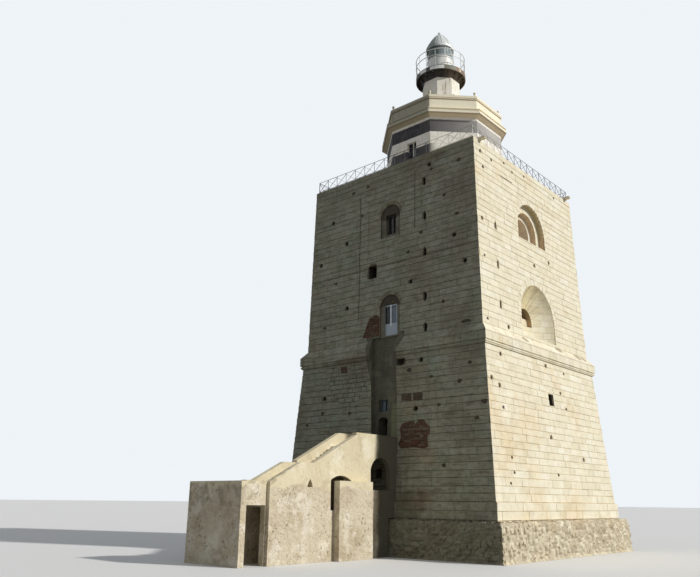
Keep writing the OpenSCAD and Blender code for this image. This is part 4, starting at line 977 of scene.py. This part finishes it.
def build_block_tree(name, operation):
    """Geometry Nodes: courses of stones with uneven lengths and heights on one leaning wall face."""
    tree, given, out = new_group(name, "GeometryNodeTree", {
        "Courses": (INTEGER, 10), "Slots": (INTEGER, 20), "Foot": (FLOAT, 0.0), "Height": (FLOAT, 0.22),
        "Length": (FLOAT, 0.46), "Joint": (FLOAT, 0.014), "Head Joint": (FLOAT, 0.008),
        "Half Width": (FLOAT, 3.7), "Centre": (FLOAT, 0.0), "Face": (FLOAT, 3.7), "Lean": (FLOAT, 0.02),
        "Side Lean": (FLOAT, 0.02), "Relief": (FLOAT, 0.016), "Lap": (FLOAT, 0.0), "Sink": (FLOAT, 0.012),
        "Roughness": (FLOAT, 0.005), "Unevenness": (FLOAT, 0.5), "Turn": (FLOAT, 0.0),
        "Seed": (INTEGER, 1), "Stone": (OBJECT, None), "Cutter": (OBJECT, None),
        "Finish": (MATERIAL, None)}, {"Geometry": "NodeSocketGeometry"})
    slots, seed, lean, sink = given["Slots"], given["Seed"], given["Lean"], given["Sink"]
    index = Value(add(tree, "GeometryNodeInputIndex").outputs[0])
    points = node("GeometryNodePoints", {"Count": given["Courses"] * slots})
    row = calc("FLOOR", (index + 0.5) / slots)
    column = index - row * slots

    def bed_at(course):
        # Beds wander a little; the first and last stay level
        inner = (course > 0.5) * (course < given["Courses"] - 0.5)
        return (course + random_value(course, -0.5, 0.5, seed + 5) * inner * 0.22) * given["Height"]
    bed, next_bed = bed_at(row), bed_at(row + 1.0)
    up = (bed + next_bed) * 0.5
    lap_row = abs(calc("MODULO", row + (given["Lap"] > 0.0), 2.0))
    half = given["Half Width"] - up * given["Side Lean"] + abs(given["Lap"]) * lap_row

    def joint_at(column):
        jitter = random_value(row * 211.0 + column, -0.5, 0.5, seed) * given["Unevenness"]
        shift = random_value(row, 0.0, 0.35, seed + 7) + calc("MODULO", row, 2.0) * 0.5
        place = (column + shift + jitter - slots * 0.5) * given["Length"]
        return most(least(place, half), half * -1.0)
    left, right = joint_at(column), joint_at(column + 1.0)
    width = right - left - given["Head Joint"]
    face = given["Face"] - up * lean - sink
    middle = join_xyz((left + right) * 0.5 + given["Centre"], face * -1.0, given["Foot"] + up)
    stones = node("GeometryNodeSetPosition", {"Geometry": points, "Position": middle})
    proud = random_value(index + 9, given["Roughness"] * -1.0, given["Roughness"], seed)
    size = join_xyz(width, given["Relief"] + sink + proud, next_bed - bed - given["Joint"])
    tone = random_value(index + 3, 0.0, 1.0, seed + 3)
    # Size and tone travel with the points, because the deletion renumbers them
    for key, kind, value in (("size", "FLOAT_VECTOR", size), ("tone", "FLOAT", tone)):
        stones = node("GeometryNodeStoreNamedAttribute", {"Geometry": stones, "Name": key, "Value": value},
                      data_type=kind, domain="POINT")
    stones = node("GeometryNodeDeleteGeometry", {"Geometry": stones, "Selection": width < 0.05})
    read = add(tree, "GeometryNodeInputNamedAttribute", {"Name": "size"}, data_type="FLOAT_VECTOR")
    block = node("GeometryNodeObjectInfo", {"Object": given["Stone"]}, "Geometry")
    tilt = join_xyz(calc("ARCTANGENT", lean) * -1.0)
    stones = node("GeometryNodeInstanceOnPoints", {
        "Points": stones, "Instance": block, "Rotation": tilt, "Scale": Value(read.outputs["Attribute"])})
    stones = node("GeometryNodeRealizeInstances", {0: stones})
    stones = node("GeometryNodeTransform", {"Geometry": stones, "Rotation": join_xyz(z=given["Turn"])})
    cutter = node("GeometryNodeObjectInfo", {"Object": given["Cutter"]}, "Geometry")
    cut = add(tree, "GeometryNodeMeshBoolean", operation=operation, solver="EXACT")
    feed(cut.inputs[0 if operation == "DIFFERENCE" else 1], stones)
    feed(cut.inputs[1], cutter)
    feed(cut.inputs["Self Intersection"], True)
    feed(out["Geometry"], node("GeometryNodeSetMaterial", {"Geometry": Value(cut.outputs[0]),
                                                           "Material": given["Finish"]}))
    return tree


def stone_tree(name="Coursed stones", operation="DIFFERENCE"):
    """The tree that lays stones, built once for each use."""
    return bpy.data.node_groups.get(name) or build_block_tree(name, operation)


def plain_piece(name, meshes, mat):
    """One piece from closed meshes, each with its own tone, resting on the tower."""
    bm = bmesh.new()
    layer = bm.faces.layers.float.new("tone")
    seen = 0
    for number, mesh in enumerate(meshes):
        bm.from_mesh(mesh)
        bm.faces.ensure_lookup_table()
        for face in bm.faces[seen:]:
            face[layer] = (number * 0.618) % 1.0
        seen = len(bm.faces)
        bpy.data.meshes.remove(mesh)
    piece = placed(name, saved(bm, name))
    piece.data.materials.append(mat)
    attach(piece, "root")


def grow(name, tree, values):
    """Runs a Geometry Nodes tree on an empty mesh and keeps the result as a plain piece."""
    piece = placed(name, bpy.data.meshes.new(name))
    modifier = piece.modifiers.new(name, "NODES")
    modifier.node_group = tree
    sockets = {item.name: item.identifier for item in tree.interface.items_tree
               if item.item_type == "SOCKET" and item.in_out == "INPUT"}
    for key, value in values.items():
        modifier[sockets[key]] = value
    bpy.context.view_layer.update()
    graph = bpy.context.evaluated_depsgraph_get()
    mesh = bpy.data.meshes.new_from_object(piece.evaluated_get(graph))
    mesh.name = name
    piece.modifiers.clear()
    piece.data = mesh
    if not mesh.polygons:
        raise RuntimeError(name + " came out empty")
    for polygon in mesh.polygons:
        polygon.use_smooth = False
    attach(piece, "root")


def lay_courses(name, sizes, foot, top, courses, half, lean, length, seed, roughness, cutters):
    """Lays courses of stone on the four faces of a stage. Two opposite faces lap over the corners."""
    stone = block_stone()
    for number, (side, turn) in enumerate(FACES):
        values = {
            "Courses": courses, "Slots": int(2 * half / length) + 4, "Foot": foot,
            "Height": (top - foot) / courses, "Length": length, "Joint": sizes.joint,
            "Head Joint": sizes.head_joint, "Half Width": half, "Face": half, "Lean": lean,
            "Side Lean": lean, "Relief": sizes.relief, "Roughness": roughness,
            "Lap": sizes.relief if number % 2 else -sizes.relief, "Turn": math.radians(turn),
            "Seed": sizes.seed + seed, "Stone": stone, "Finish": materials()["facing"]}
        if cutters.get(side):
            values["Cutter"] = cutters[side]
        grow(name + side, stone_tree(), values)
    bpy.data.objects.remove(stone)


# Faces of a stage with the turn of the stones laid on them, in degrees
FACES = (("front", 0.0), ("right", 90.0), ("back", 180.0), ("left", -90.0))
# How far the cutters of the facing reach along their axis, in metres
CUTTER_INNER, CUTTER_OUTER = 3.0, 4.6
# The hollows are drawn larger than they were measured, so that they read at the photo's distance
FRONT_GROWTH, SIDE_GROWTH = 1.5, 1.15
# The two arched bays of the front: centre, half width, rise of the head, (sill, crown) of each
BAY_X, BAY_HALF, BAY_RISE = 0.12, 0.43, 0.36
BAYS = ((6.87, 8.33), (10.45, 11.67))
# The round-headed niches of the sides: centre, sill, spring, radius, then the outer radius of the
# wedge stones and of the ring that is kept free for them
NICHES = ((0.0, 6.895, 7.61, 1.2, 1.395, 1.4), (0.035, 10.395, 10.877, 0.984, 1.16, 1.164))

# Openings in the facing, as outlines (across, level) with the CAD's own places in metres
RENDERED = [(x, z) for z, x in RENDER_LEFT] + [(x, z) for z, x in RENDER_RIGHT[::-1]]
LOWER_OPENINGS = [
    [(-0.415, 3.0), (0.655, 3.0), (0.655, 3.13), (0.435, 6.87), (-0.635, 6.87), (-0.415, 3.13)],
    [(0.47, 5.80), (0.70, 5.77), (0.87, 5.82), (0.90, 5.98), (0.74, 6.06), (0.50, 6.05)],
    rectangle(-0.06, 2.405, 0.25, 0.275),
]
UPPER_OPENINGS = [arch(BAY_X, sill, crown, BAY_HALF, BAY_RISE) for sill, crown in BAYS] + [
    [(-0.90, 9.10), (-0.66, 9.02), (-0.46, 9.06), (-0.44, 9.40), (-0.50, 9.60), (-0.72, 9.63), (-0.87, 9.50)]]
SLITS = [blob(1.59, UPPER_FOOT + level, 0.17, 0.36, level, 9) for level in (0.15, 1.2, 2.755, 4.055, 5.35)]
FRONT_HOLES = [blob(x, z, 0.21, 0.19, 3 * x + z, 8) for x, z in (
    (0.98, 4.74), (1.32, 4.35), (1.49, 5.89), (-2.65, 4.98), (1.0, 8.63), (2.76, 9.88), (3.14, 8.91),
    (-3.21, 10.09), (-2.65, 11.67), (-1.93, 10.67), (-1.84, 8.17), (1.81, 12.72))]
# Rings kept free for the wedge stones
BAY_RINGS = [arch(BAY_X, crown - 0.38, crown + 0.14, BAY_HALF + 0.07, BAY_RISE + 0.06)
             for sill, crown in BAYS]
NICHE_RINGS = [arch(x, spring, spring + ring, ring, ring) for x, sill, spring, radius, outer, ring in NICHES]
SIDE_OPENINGS = [arch(x, sill, spring + radius, radius, radius)
                 for x, sill, spring, radius, outer, ring in NICHES]
SIDE_OPENINGS += [rectangle(0.101, 4.84, 0.358, 0.395)]
SIDE_OPENINGS += [blob(-2.53, level, 0.15, 0.34, level, 9) for level in (7.6, 8.95, 10.3)]
SIDE_OPENINGS += [blob(y, z, 0.18, 0.17, 3 * y + z, 8) for y, z in (
    (-2.95, 5.92), (-3.23, 4.92), (-3.65, 5.10), (0.03, 5.98), (-0.25, 3.60), (2.0, 3.0), (-3.2, 12.78),
    (-3.35, 10.32), (0.05, 9.58), (1.2, 9.98), (-2.12, 6.94))]
# Patches of other masonry: stage, finish, stone length and height, outline
PATCHES = {
    "door_brick": ("upper", "brick", 0.25, 0.07, [
        (-1.07, 6.95), (-0.32, 6.95), (-0.32, 7.62), (-0.48, 7.70), (-0.78, 7.62), (-0.93, 7.28)]),
    "middle_brick": ("lower", "brick", 0.25, 0.07, [
        (0.73, 3.75), (0.81, 3.91), (1.25, 3.99), (1.33, 3.87), (1.44, 4.01), (1.64, 3.99), (1.76, 3.85),
        (1.88, 3.75), (1.89, 3.59), (1.79, 3.44), (1.83, 3.17), (1.7, 3.11), (1.27, 3.16), (0.8, 3.14),
        (0.69, 3.27), (0.78, 3.49)]),
    "small_brick": ("lower", "brown", 0.2, 0.07, [(0.75, 4.87), (1.16, 4.83), (1.16, 4.6), (0.76, 4.64)]),
    "second_brick": ("lower", "brown", 0.2, 0.07, [(1.2, 4.86), (1.58, 4.83), (1.59, 4.59), (1.21, 4.62)]),
    "corner_brick": ("lower", "brick", 0.2, 0.07, [
        (-1.96, 6.05), (-1.67, 6.02), (-1.63, 5.78), (-1.92, 5.81)]),
    "broken_rubble": ("lower", "facing", 0.32, 0.155, [
        (-2.65, 6.07), (-2.1, 6.1), (-2.0, 5.7), (-1.55, 5.7), (-1.5, 6.08), (-0.95, 6.05), (-0.70, 5.6),
        (-0.72, 5.05), (-1.63, 4.47), (-2.36, 5.17)]),
}
# Small dark hollows (across, level, width, height)
FRONT_SPOTS = {
    "lower": [(-2.69, 4.47, 0.12, 0.09), (-1.43, 4.39, 0.11, 0.08), (1.03, 5.6, 0.13, 0.1),
              (2.94, 5.06, 0.12, 0.09), (3.54, 3.92, 0.11, 0.08), (3.79, 4.38, 0.14, 0.1),
              (3.3, 5.59, 0.1, 0.08), (-3.4, 4.1, 0.1, 0.07), (2.4, 2.6, 0.11, 0.08), (-2.2, 3.3, 0.1, 0.08),
              (1.9, 5.3, 0.1, 0.07), (2.2, 4.4, 0.09, 0.07)],
    "upper": [(-1.65, 12.63, 0.13, 0.09), (-0.94, 12.69, 0.12, 0.08), (3.01, 12.5, 0.12, 0.1),
              (2.89, 10.59, 0.12, 0.08), (3.13, 6.92, 0.26, 0.08), (1.45, 10.29, 0.12, 0.09),
              (1.9, 12.51, 0.1, 0.08), (-2.9, 7.6, 0.1, 0.08), (-2.4, 9.2, 0.09, 0.08), (2.3, 7.7, 0.1, 0.08),
              (0.9, 9.7, 0.1, 0.07), (-1.2, 11.6, 0.1, 0.08), (2.4, 11.4, 0.1, 0.08)],
}
SIDE_SPOTS = {
    "lower": [(0.87, 5.16, 0.12, 0.1), (1.15, 4.65, 0.13, 0.08), (-3.14, 4.27, 0.12, 0.1),
              (-2.97, 2.83, 0.1, 0.09), (-2.92, 2.41, 0.1, 0.09), (-3.19, 2.1, 0.1, 0.08),
              (-0.08, 2.43, 0.12, 0.1), (1.35, 5.89, 0.12, 0.09)],
    "upper": [(-2.51, 12.72, 0.12, 0.09), (-3.1, 12.24, 0.12, 0.1), (-1.65, 12.93, 0.12, 0.08),
              (-1.08, 12.79, 0.1, 0.08), (-0.21, 12.95, 0.12, 0.08), (2.18, 12.91, 0.12, 0.08),
              (-3.36, 9.05, 0.1, 0.08), (-3.41, 6.97, 0.12, 0.08), (-1.6, 12.34, 0.9, 0.035)],
}

# Finish of every CAD node
NODE_FINISH = {name: kind for kind, names in {
    "mortar": "footing plinth",
    "lower_core": "lower_wall_front lower_wall_entry lower_walls_side lower_wall_back",
    "upper_core": "upper_wall_front upper_wall_bay upper_walls_apse upper_walls_arch upper_wall_back",
    "course": "string_course_front string_course_sides rain_spouts",
    "infill": "bay_infill", "door": "balcony_door", "frame": "window_frames", "glass": "window_panes",
    "deck": "floors terrace_deck octagon_roof",
    "railing": "terrace_railing_front terrace_railing_sides",
    "banded": "octagon_walls_diagonal octagon_walls_square octagon_lintel",
    "cornice": "octagon_cornice",
    "ochre": "parapet_diagonal parapet_square parapet_pinnacles",
    "white": "drum_base drum_wall", "rim": "gallery_corbel gallery_deck",
    "lantern": "gallery_railing lantern_wall", "sash": "lantern_frame",
    "lantern_glass": "lantern_glazing", "dome": "lantern_dome", "ball": "dome_vent",
    "plaster": "stair_wall_east stair_wall_west stair_end_wall stair_block",
    "steps": "stair_landings stair_steps_odd stair_steps_even",
}.items() for name in names.split()}

# Cells of the footing's rubble to the metre across and up, and the step of its mesh in metres
RUBBLE_ACROSS, RUBBLE_UP, RUBBLE_STEP = 4.2, 6.5, 0.055
# Place of the camera in metres, its angles in degrees, its lens and sensor in millimetres
CAMERA_PLACE, CAMERA_YAW, CAMERA_PITCH, CAMERA_ROLL = (14.451, -21.823, 1.570), -41.69, 16.78, 0.68
CAMERA_LENS, CAMERA_SENSOR, CAMERA_REACH = 36.21, 36.0, 2000.0


def make_cutters(front, side, back):
    """Cutters for the four faces of one stage. The two sides share one."""
    before, behind = (-CUTTER_OUTER, -CUTTER_INNER), (CUTTER_INNER, CUTTER_OUTER)
    both = merged([prism(outline, "x", *ends) for outline in side for ends in (behind, before)])
    return {"front": merged([prism(outline, "y", *before) for outline in front]),
            "back": merged([prism(outline, "y", *behind) for outline in back]), "right": both, "left": both}


def rubble_cell(spot):
    """Distances to the nearest stones of the rubble, and their middles."""
    return noise_of.voronoi(Vector((spot.x * RUBBLE_ACROSS, spot.y * RUBBLE_ACROSS, spot.z * RUBBLE_UP)))


def worn(spot):
    """Moves a point of the footing inward: joints between the stones and a worn top edge."""
    near, other = rubble_cell(spot)[0][:2]
    dent = 0.02 + 0.05 * max(0.0, 1 - 3.2 * (other - near)) + 0.02 * near
    edge = max(0.0, 1 - (FOOT_TOP - spot.z) / 0.2) * 0.05
    outward = max(abs(spot.x), abs(spot.y))
    shrink = (outward - dent - edge * (1 if outward > FOOTING_HALF - 0.05 else 0)) / outward
    level = min(spot.z, FOOT_TOP - (0.5 * dent if outward > PLINTH_HALF + 0.03 else 0.0))
    return Vector((spot.x * shrink, spot.y * shrink, level))


class LIGHTHOUSE_PG_masonry(bpy.types.PropertyGroup):
    upper_course: bpy.props.FloatProperty(
        name="Upper course height", description="Height of a course on the upper stage",
        default=0.222, min=0.1, max=0.5, unit="LENGTH")
    lower_course: bpy.props.FloatProperty(
        name="Lower course height", description="Height of a course on the lower stage",
        default=0.2172, min=0.1, max=0.5, unit="LENGTH")
    stone_length: bpy.props.FloatProperty(
        name="Stone length", description="Mean length of a facing stone", default=0.46, min=0.2, max=1.0,
        unit="LENGTH")
    joint: bpy.props.FloatProperty(
        name="Bed joint", description="Height of the joints between courses", default=0.015, min=0.004,
        max=0.03, unit="LENGTH")
    head_joint: bpy.props.FloatProperty(
        name="Head joint", description="Width of the joints between stones of a course", default=0.003,
        min=0.002, max=0.03, unit="LENGTH")
    relief: bpy.props.FloatProperty(
        name="Relief", description="How far the stones stand out of the wall", default=0.012, min=0.004,
        max=0.03, unit="LENGTH")
    seed: bpy.props.IntProperty(name="Seed", description="Changes the pattern of stones", default=4)


class LIGHTHOUSE_PG_stage(bpy.types.PropertyGroup):
    sun: bpy.props.FloatProperty(
        name="Key light", description="Strength of the soft key light", default=2.9, min=0.0, max=10.0)
    fill: bpy.props.FloatProperty(
        name="Fill light", description="Strength of the even light from all round", default=0.30, min=0.0,
        max=2.0)
    floor: bpy.props.FloatVectorProperty(
        name="Floor colour", description="Colour of the floor as the camera sees it",
        default=(0.80, 0.81, 0.82), size=3, subtype="COLOR", min=0.0, max=1.0)
    bounce: bpy.props.FloatVectorProperty(
        name="Floor bounce", description="Colour of the light that the floor throws back",
        default=(0.30, 0.30, 0.29), size=3, subtype="COLOR", min=0.0, max=1.0)


def materials():
    """The finishes, made once."""
    if "Weathered facing stone" not in bpy.data.materials:
        LIGHTHOUSE_OT_finishes.made = build_materials()
    return LIGHTHOUSE_OT_finishes.made


class LIGHTHOUSE_OT_finishes(bpy.types.Operator):
    """Gives every CAD node its finish"""
    bl_idname = "lighthouse.finishes"
    bl_label = "Finishes on the solids"
    made = {}

    def execute(self, context):
        made = materials()
        for node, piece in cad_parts.items():
            mat = made[NODE_FINISH[node]]
            if not piece.material_slots:
                piece.data.materials.append(mat)
            for slot in piece.material_slots:
                slot.material = mat
        return {"FINISHED"}


class LIGHTHOUSE_OT_facing(bpy.types.Operator):
    """Lays the facing stones of both stages, course by course"""
    bl_idname = "lighthouse.facing"
    bl_label = "Facing stones"

    def execute(self, context):
        sizes = context.scene.lighthouse_masonry
        plans = (
            ("upper", UPPER_FOOT, TERRACE, sizes.upper_course, UPPER_OPENINGS + LOWER_OPENINGS + SLITS,
             BAY_RINGS, NICHE_RINGS, SLITS),
            ("lower", PLINTH_TOP, LOWER_TOP, sizes.lower_course, LOWER_OPENINGS, [], [], []),
        )
        for stage, foot, top, height, holes, front_rings, side_rings, back in plans:
            half, _, lean = STAGES[stage]
            patches = [plan[-1] for plan in PATCHES.values() if plan[0] == stage]
            front = holes + FRONT_HOLES + patches + front_rings + [RENDERED]
            front += hollows(FRONT_SPOTS[stage], FRONT_GROWTH)
            side = SIDE_OPENINGS + side_rings + hollows(SIDE_SPOTS[stage], SIDE_GROWTH)
            cutters = make_cutters(front, side, back)
            courses = round((top - foot) / height)
            lay_courses("facing_" + stage + "_", sizes, foot, top, courses, half, lean, sizes.stone_length,
                        5, 0.005, cutters)
            for key in ("front", "back", "right"):
                if cutters[key]:
                    bpy.data.objects.remove(cutters[key])
        return {"FINISHED"}


class LIGHTHOUSE_OT_plinth(bpy.types.Operator):
    """Lays two courses of dressed stone round the plinth"""
    bl_idname = "lighthouse.plinth"
    bl_label = "Plinth stones"

    def execute(self, context):
        lay_courses("plinth_stones_", context.scene.lighthouse_masonry, FOOT_TOP, PLINTH_TOP, 2, PLINTH_HALF,
                    0.0, 0.5, 40, 0.006, {})
        return {"FINISHED"}


class LIGHTHOUSE_OT_patches(bpy.types.Operator):
    """Fills the broken places of the front with brick and rubble"""
    bl_idname = "lighthouse.patches"
    bl_label = "Brick and rubble patches"

    def execute(self, context):
        made = materials()
        tree = stone_tree("Patch stones", "INTERSECT")
        stone = block_stone(0.02, 0.05)
        for number, (name, plan) in enumerate(PATCHES.items()):
            stage, mat, length, height, outline = plan
            half, foot, lean = STAGES[stage]
            low, high = min(z for x, z in outline), max(z for x, z in outline)
            left, right = min(x for x, z in outline), max(x for x, z in outline)
            joint, rough = (0.017, 0.011) if mat == "facing" else (0.010, 0.006)
            bound = merged([prism(outline, "y", -CUTTER_OUTER, -CUTTER_INNER)])
            grow("patch_" + name, tree, {
                "Courses": int((high - low) / height) + 1, "Slots": int((right - left) / length) + 4,
                "Foot": low, "Height": height, "Length": length, "Joint": joint, "Head Joint": joint,
                "Half Width": (right - left) / 2 + 0.1, "Centre": (left + right) / 2,
                "Face": half - (low - foot) * lean, "Lean": lean, "Side Lean": 0.0,
                "Relief": 0.012, "Roughness": rough, "Seed": 60 + number,
                "Stone": stone, "Cutter": bound, "Finish": made[mat]})
            bpy.data.objects.remove(bound)
        bpy.data.objects.remove(stone)
        return {"FINISHED"}


class LIGHTHOUSE_OT_arches(bpy.types.Operator):
    """Sets wedge stones round the arched bays and niches"""
    bl_idname = "lighthouse.arches"
    bl_label = "Arch stones"

    def execute(self, context):
        made = materials()
        curve = (BAY_HALF ** 2 + BAY_RISE ** 2) / (2 * BAY_RISE)
        sweep = 1.02 * math.asin(BAY_HALF / curve)
        stones = []
        for sill, crown in BAYS:
            stones += wedge_ring(BAY_X, crown - curve, curve + 0.002, curve + 0.135, sweep, 11, "front",
                                 0.014)
        plain_piece("bay_arch_stones", stones, made["patch"])
        stones = []
        for side in ("right", "left"):
            for centre, sill, spring, radius, outer, ring in NICHES:
                stones += wedge_ring(centre, spring, radius + 0.002, outer, math.pi / 2, 19, side, 0.016)
        plain_piece("niche_arch_stones", stones, made["voussoir"])
        return {"FINISHED"}


class LIGHTHOUSE_OT_hollows(bpy.types.Operator):
    """Darkens the small hollows where stones have lost their faces, with thin sheets of soil and painted
    shade
    """
    bl_idname = "lighthouse.hollows"
    bl_label = "Painted shade in hollows"

    def execute(self, context):
        parts = [slab(outline, stage, side, -0.03, 0.003)
                 for faces, places, growth in ((("front",), FRONT_SPOTS, FRONT_GROWTH),
                                               (("right", "left"), SIDE_SPOTS, SIDE_GROWTH))
                 for stage in places for side in faces for outline in hollows(places[stage], growth)]
        plain_piece("weathered_hollows", parts, materials()["hollow"])
        return {"FINISHED"}


class LIGHTHOUSE_OT_footing(bpy.types.Operator):
    """Replaces the plain footing by a mass of rubble with a worn top edge"""
    bl_idname = "lighthouse.footing"
    bl_label = "Rubble footing"

    def execute(self, context):
        bm = bmesh.new()
        tone = bm.faces.layers.float.new("tone")
        half, top = FOOTING_HALF, FOOT_TOP
        across = 2 * round(half / RUBBLE_STEP)
        # A path from the foot up the face, over the worn edge and in under the plinth: (inset, level)
        path = [(0.0, top * k / 18) for k in range(18)]
        path += [(0.02, top - 0.02), (0.06, top), (0.14, top), (0.22, top)]
        path += [(half - PLINTH_HALF - 0.02, top), (half - PLINTH_HALF + 0.25, top)]
        rings = []
        for number, (inset, level) in enumerate(path):
            reach = half - inset
            rings.append([])
            for side in range(4):
                turn = Matrix.Rotation(math.pi / 2 * side, 3, "Z")
                for k in range(across):
                    spot = turn @ Vector((-reach + 2 * reach * k / across, -reach, level))
                    if 0 < number < len(path) - 1:
                        spot = worn(spot)
                    rings[-1].append(bm.verts.new(spot))
        for low, high in zip(rings, rings[1:]):
            for k in range(len(low)):
                after = (k + 1) % len(low)
                face = bm.faces.new((low[k], low[after], high[after], high[k]))
                near, middles = rubble_cell(face.calc_center_median())
                key = middles[0].x * 12.9 + middles[0].y * 78.2 + middles[0].z * 37.7
                # Joints keep the darkest tone, every stone gets one of its own
                face[tone] = 0.0 if near[1] - near[0] < 0.06 else 0.25 + 0.75 * (key % 1.0)
        bm.faces.new(rings[0][::-1])
        bm.faces.new(rings[-1])
        bmesh.ops.recalc_face_normals(bm, faces=bm.faces)
        piece = placed("rubble_footing", saved(bm, "rubble_footing"))
        piece.data.materials.append(materials()["rubble"])
        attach(piece, "root")
        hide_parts("footing")
        return {"FINISHED"}


class LIGHTHOUSE_OT_stage(bpy.types.Operator):
    """Sets the floor, the light and the camera"""
    bl_idname = "lighthouse.stage"
    bl_label = "Studio stage"

    def execute(self, context):
        scene = context.scene
        values = scene.lighthouse_stage
        scene.view_settings.view_transform = "Standard"

        mesh = bpy.data.meshes.new("floor")
        reach, level = 400.0, -0.002
        mesh.from_pydata([(-reach, -reach, level), (reach, -reach, level), (reach, reach, level),
                          (-reach, reach, level)], [], [(0, 1, 2, 3)])
        floor = placed("floor", mesh)
        mat, shader, _ = new_material("Pale studio floor", Roughness=0.9)
        seen = Value(add(mat.node_tree, "ShaderNodeLightPath").outputs["Is Camera Ray"])
        feed(shader.inputs["Base Color"], blend(seen, values.bounce, values.floor))
        mesh.materials.append(mat)

        scene.world = bpy.data.worlds.new("studio")
        scene.world.use_nodes = True
        tree = scene.world.node_tree
        tree.nodes.clear()
        paths = add(tree, "ShaderNodeLightPath").outputs
        seen, glossy, through = [Value(paths[key]) for key in (
            "Is Camera Ray", "Is Glossy Ray", "Is Transmission Ray")]
        lit = add(tree, "ShaderNodeBackground", {"Color": (0.93, 0.96, 1.0), "Strength": values.fill})
        shown = add(tree, "ShaderNodeBackground", {"Color": (0.86, 0.90, 0.94), "Strength": 1.0})
        mix = add(tree, "ShaderNodeMixShader", {
            0: most(most(seen, glossy), through), 1: Value(lit.outputs[0]), 2: Value(shown.outputs[0])})
        add(tree, "ShaderNodeOutputWorld", {"Surface": Value(mix.outputs[0])})

        light = bpy.data.lights.new("key", "SUN")
        light.energy = values.sun
        light.angle = math.radians(2.5)
        light.color = (1.0, 0.965, 0.9)
        placed("key", light).rotation_euler = Vector((1.0, 0.366, 0.62)).to_track_quat("Z", "Y").to_euler()

        # The camera stands where the photograph was taken from
        yaw, pitch, roll = (math.radians(angle) for angle in (CAMERA_YAW, CAMERA_PITCH, CAMERA_ROLL))
        ahead = Vector((math.sin(yaw) * math.cos(pitch), math.cos(yaw) * math.cos(pitch), math.sin(pitch)))
        right = Vector((math.cos(yaw), -math.sin(yaw), 0))
        up = right.cross(ahead)
        side = right * math.cos(roll) + up * math.sin(roll)
        head = up * math.cos(roll) - right * math.sin(roll)
        lens = bpy.data.cameras.new("camera")
        lens.lens, lens.sensor_width, lens.clip_end = CAMERA_LENS, CAMERA_SENSOR, CAMERA_REACH
        camera = placed("camera", lens)
        turn = Matrix((side, head, -ahead)).transposed().to_4x4()
        camera.matrix_world = Matrix.Translation(CAMERA_PLACE) @ turn
        scene.camera = camera
        return {"FINISHED"}


class LIGHTHOUSE_PT_panel(bpy.types.Panel):
    bl_idname = "LIGHTHOUSE_PT_panel"
    bl_label = "Lighthouse"
    bl_space_type = "VIEW_3D"
    bl_region_type = "UI"
    bl_category = "Lighthouse"

    def draw(self, context):
        for kind in OPERATORS:
            self.layout.operator(kind.bl_idname)
        for group in (context.scene.lighthouse_masonry, context.scene.lighthouse_stage):
            for key in group.bl_rna.properties.keys():
                if key not in ("rna_type", "name"):
                    self.layout.prop(group, key)


OPERATORS = (LIGHTHOUSE_OT_finishes, LIGHTHOUSE_OT_facing, LIGHTHOUSE_OT_plinth, LIGHTHOUSE_OT_patches,
             LIGHTHOUSE_OT_arches, LIGHTHOUSE_OT_hollows, LIGHTHOUSE_OT_footing, LIGHTHOUSE_OT_stage)
CLASSES = (LIGHTHOUSE_PG_masonry, LIGHTHOUSE_PG_stage) + OPERATORS + (LIGHTHOUSE_PT_panel,)


def register():
    for kind in CLASSES:
        bpy.utils.register_class(kind)
    bpy.types.Scene.lighthouse_masonry = bpy.props.PointerProperty(type=LIGHTHOUSE_PG_masonry)
    bpy.types.Scene.lighthouse_stage = bpy.props.PointerProperty(type=LIGHTHOUSE_PG_stage)


def unregister():
    del bpy.types.Scene.lighthouse_stage
    del bpy.types.Scene.lighthouse_masonry
    for kind in reversed(CLASSES):
        bpy.utils.unregister_class(kind)


def main():
    register()
    bpy.ops.lighthouse.finishes()
    bpy.ops.lighthouse.facing()
    bpy.ops.lighthouse.plinth()
    bpy.ops.lighthouse.patches()
    bpy.ops.lighthouse.arches()
    bpy.ops.lighthouse.hollows()
    bpy.ops.lighthouse.footing()
    bpy.ops.lighthouse.stage()


if __name__ == "__main__":
    main()
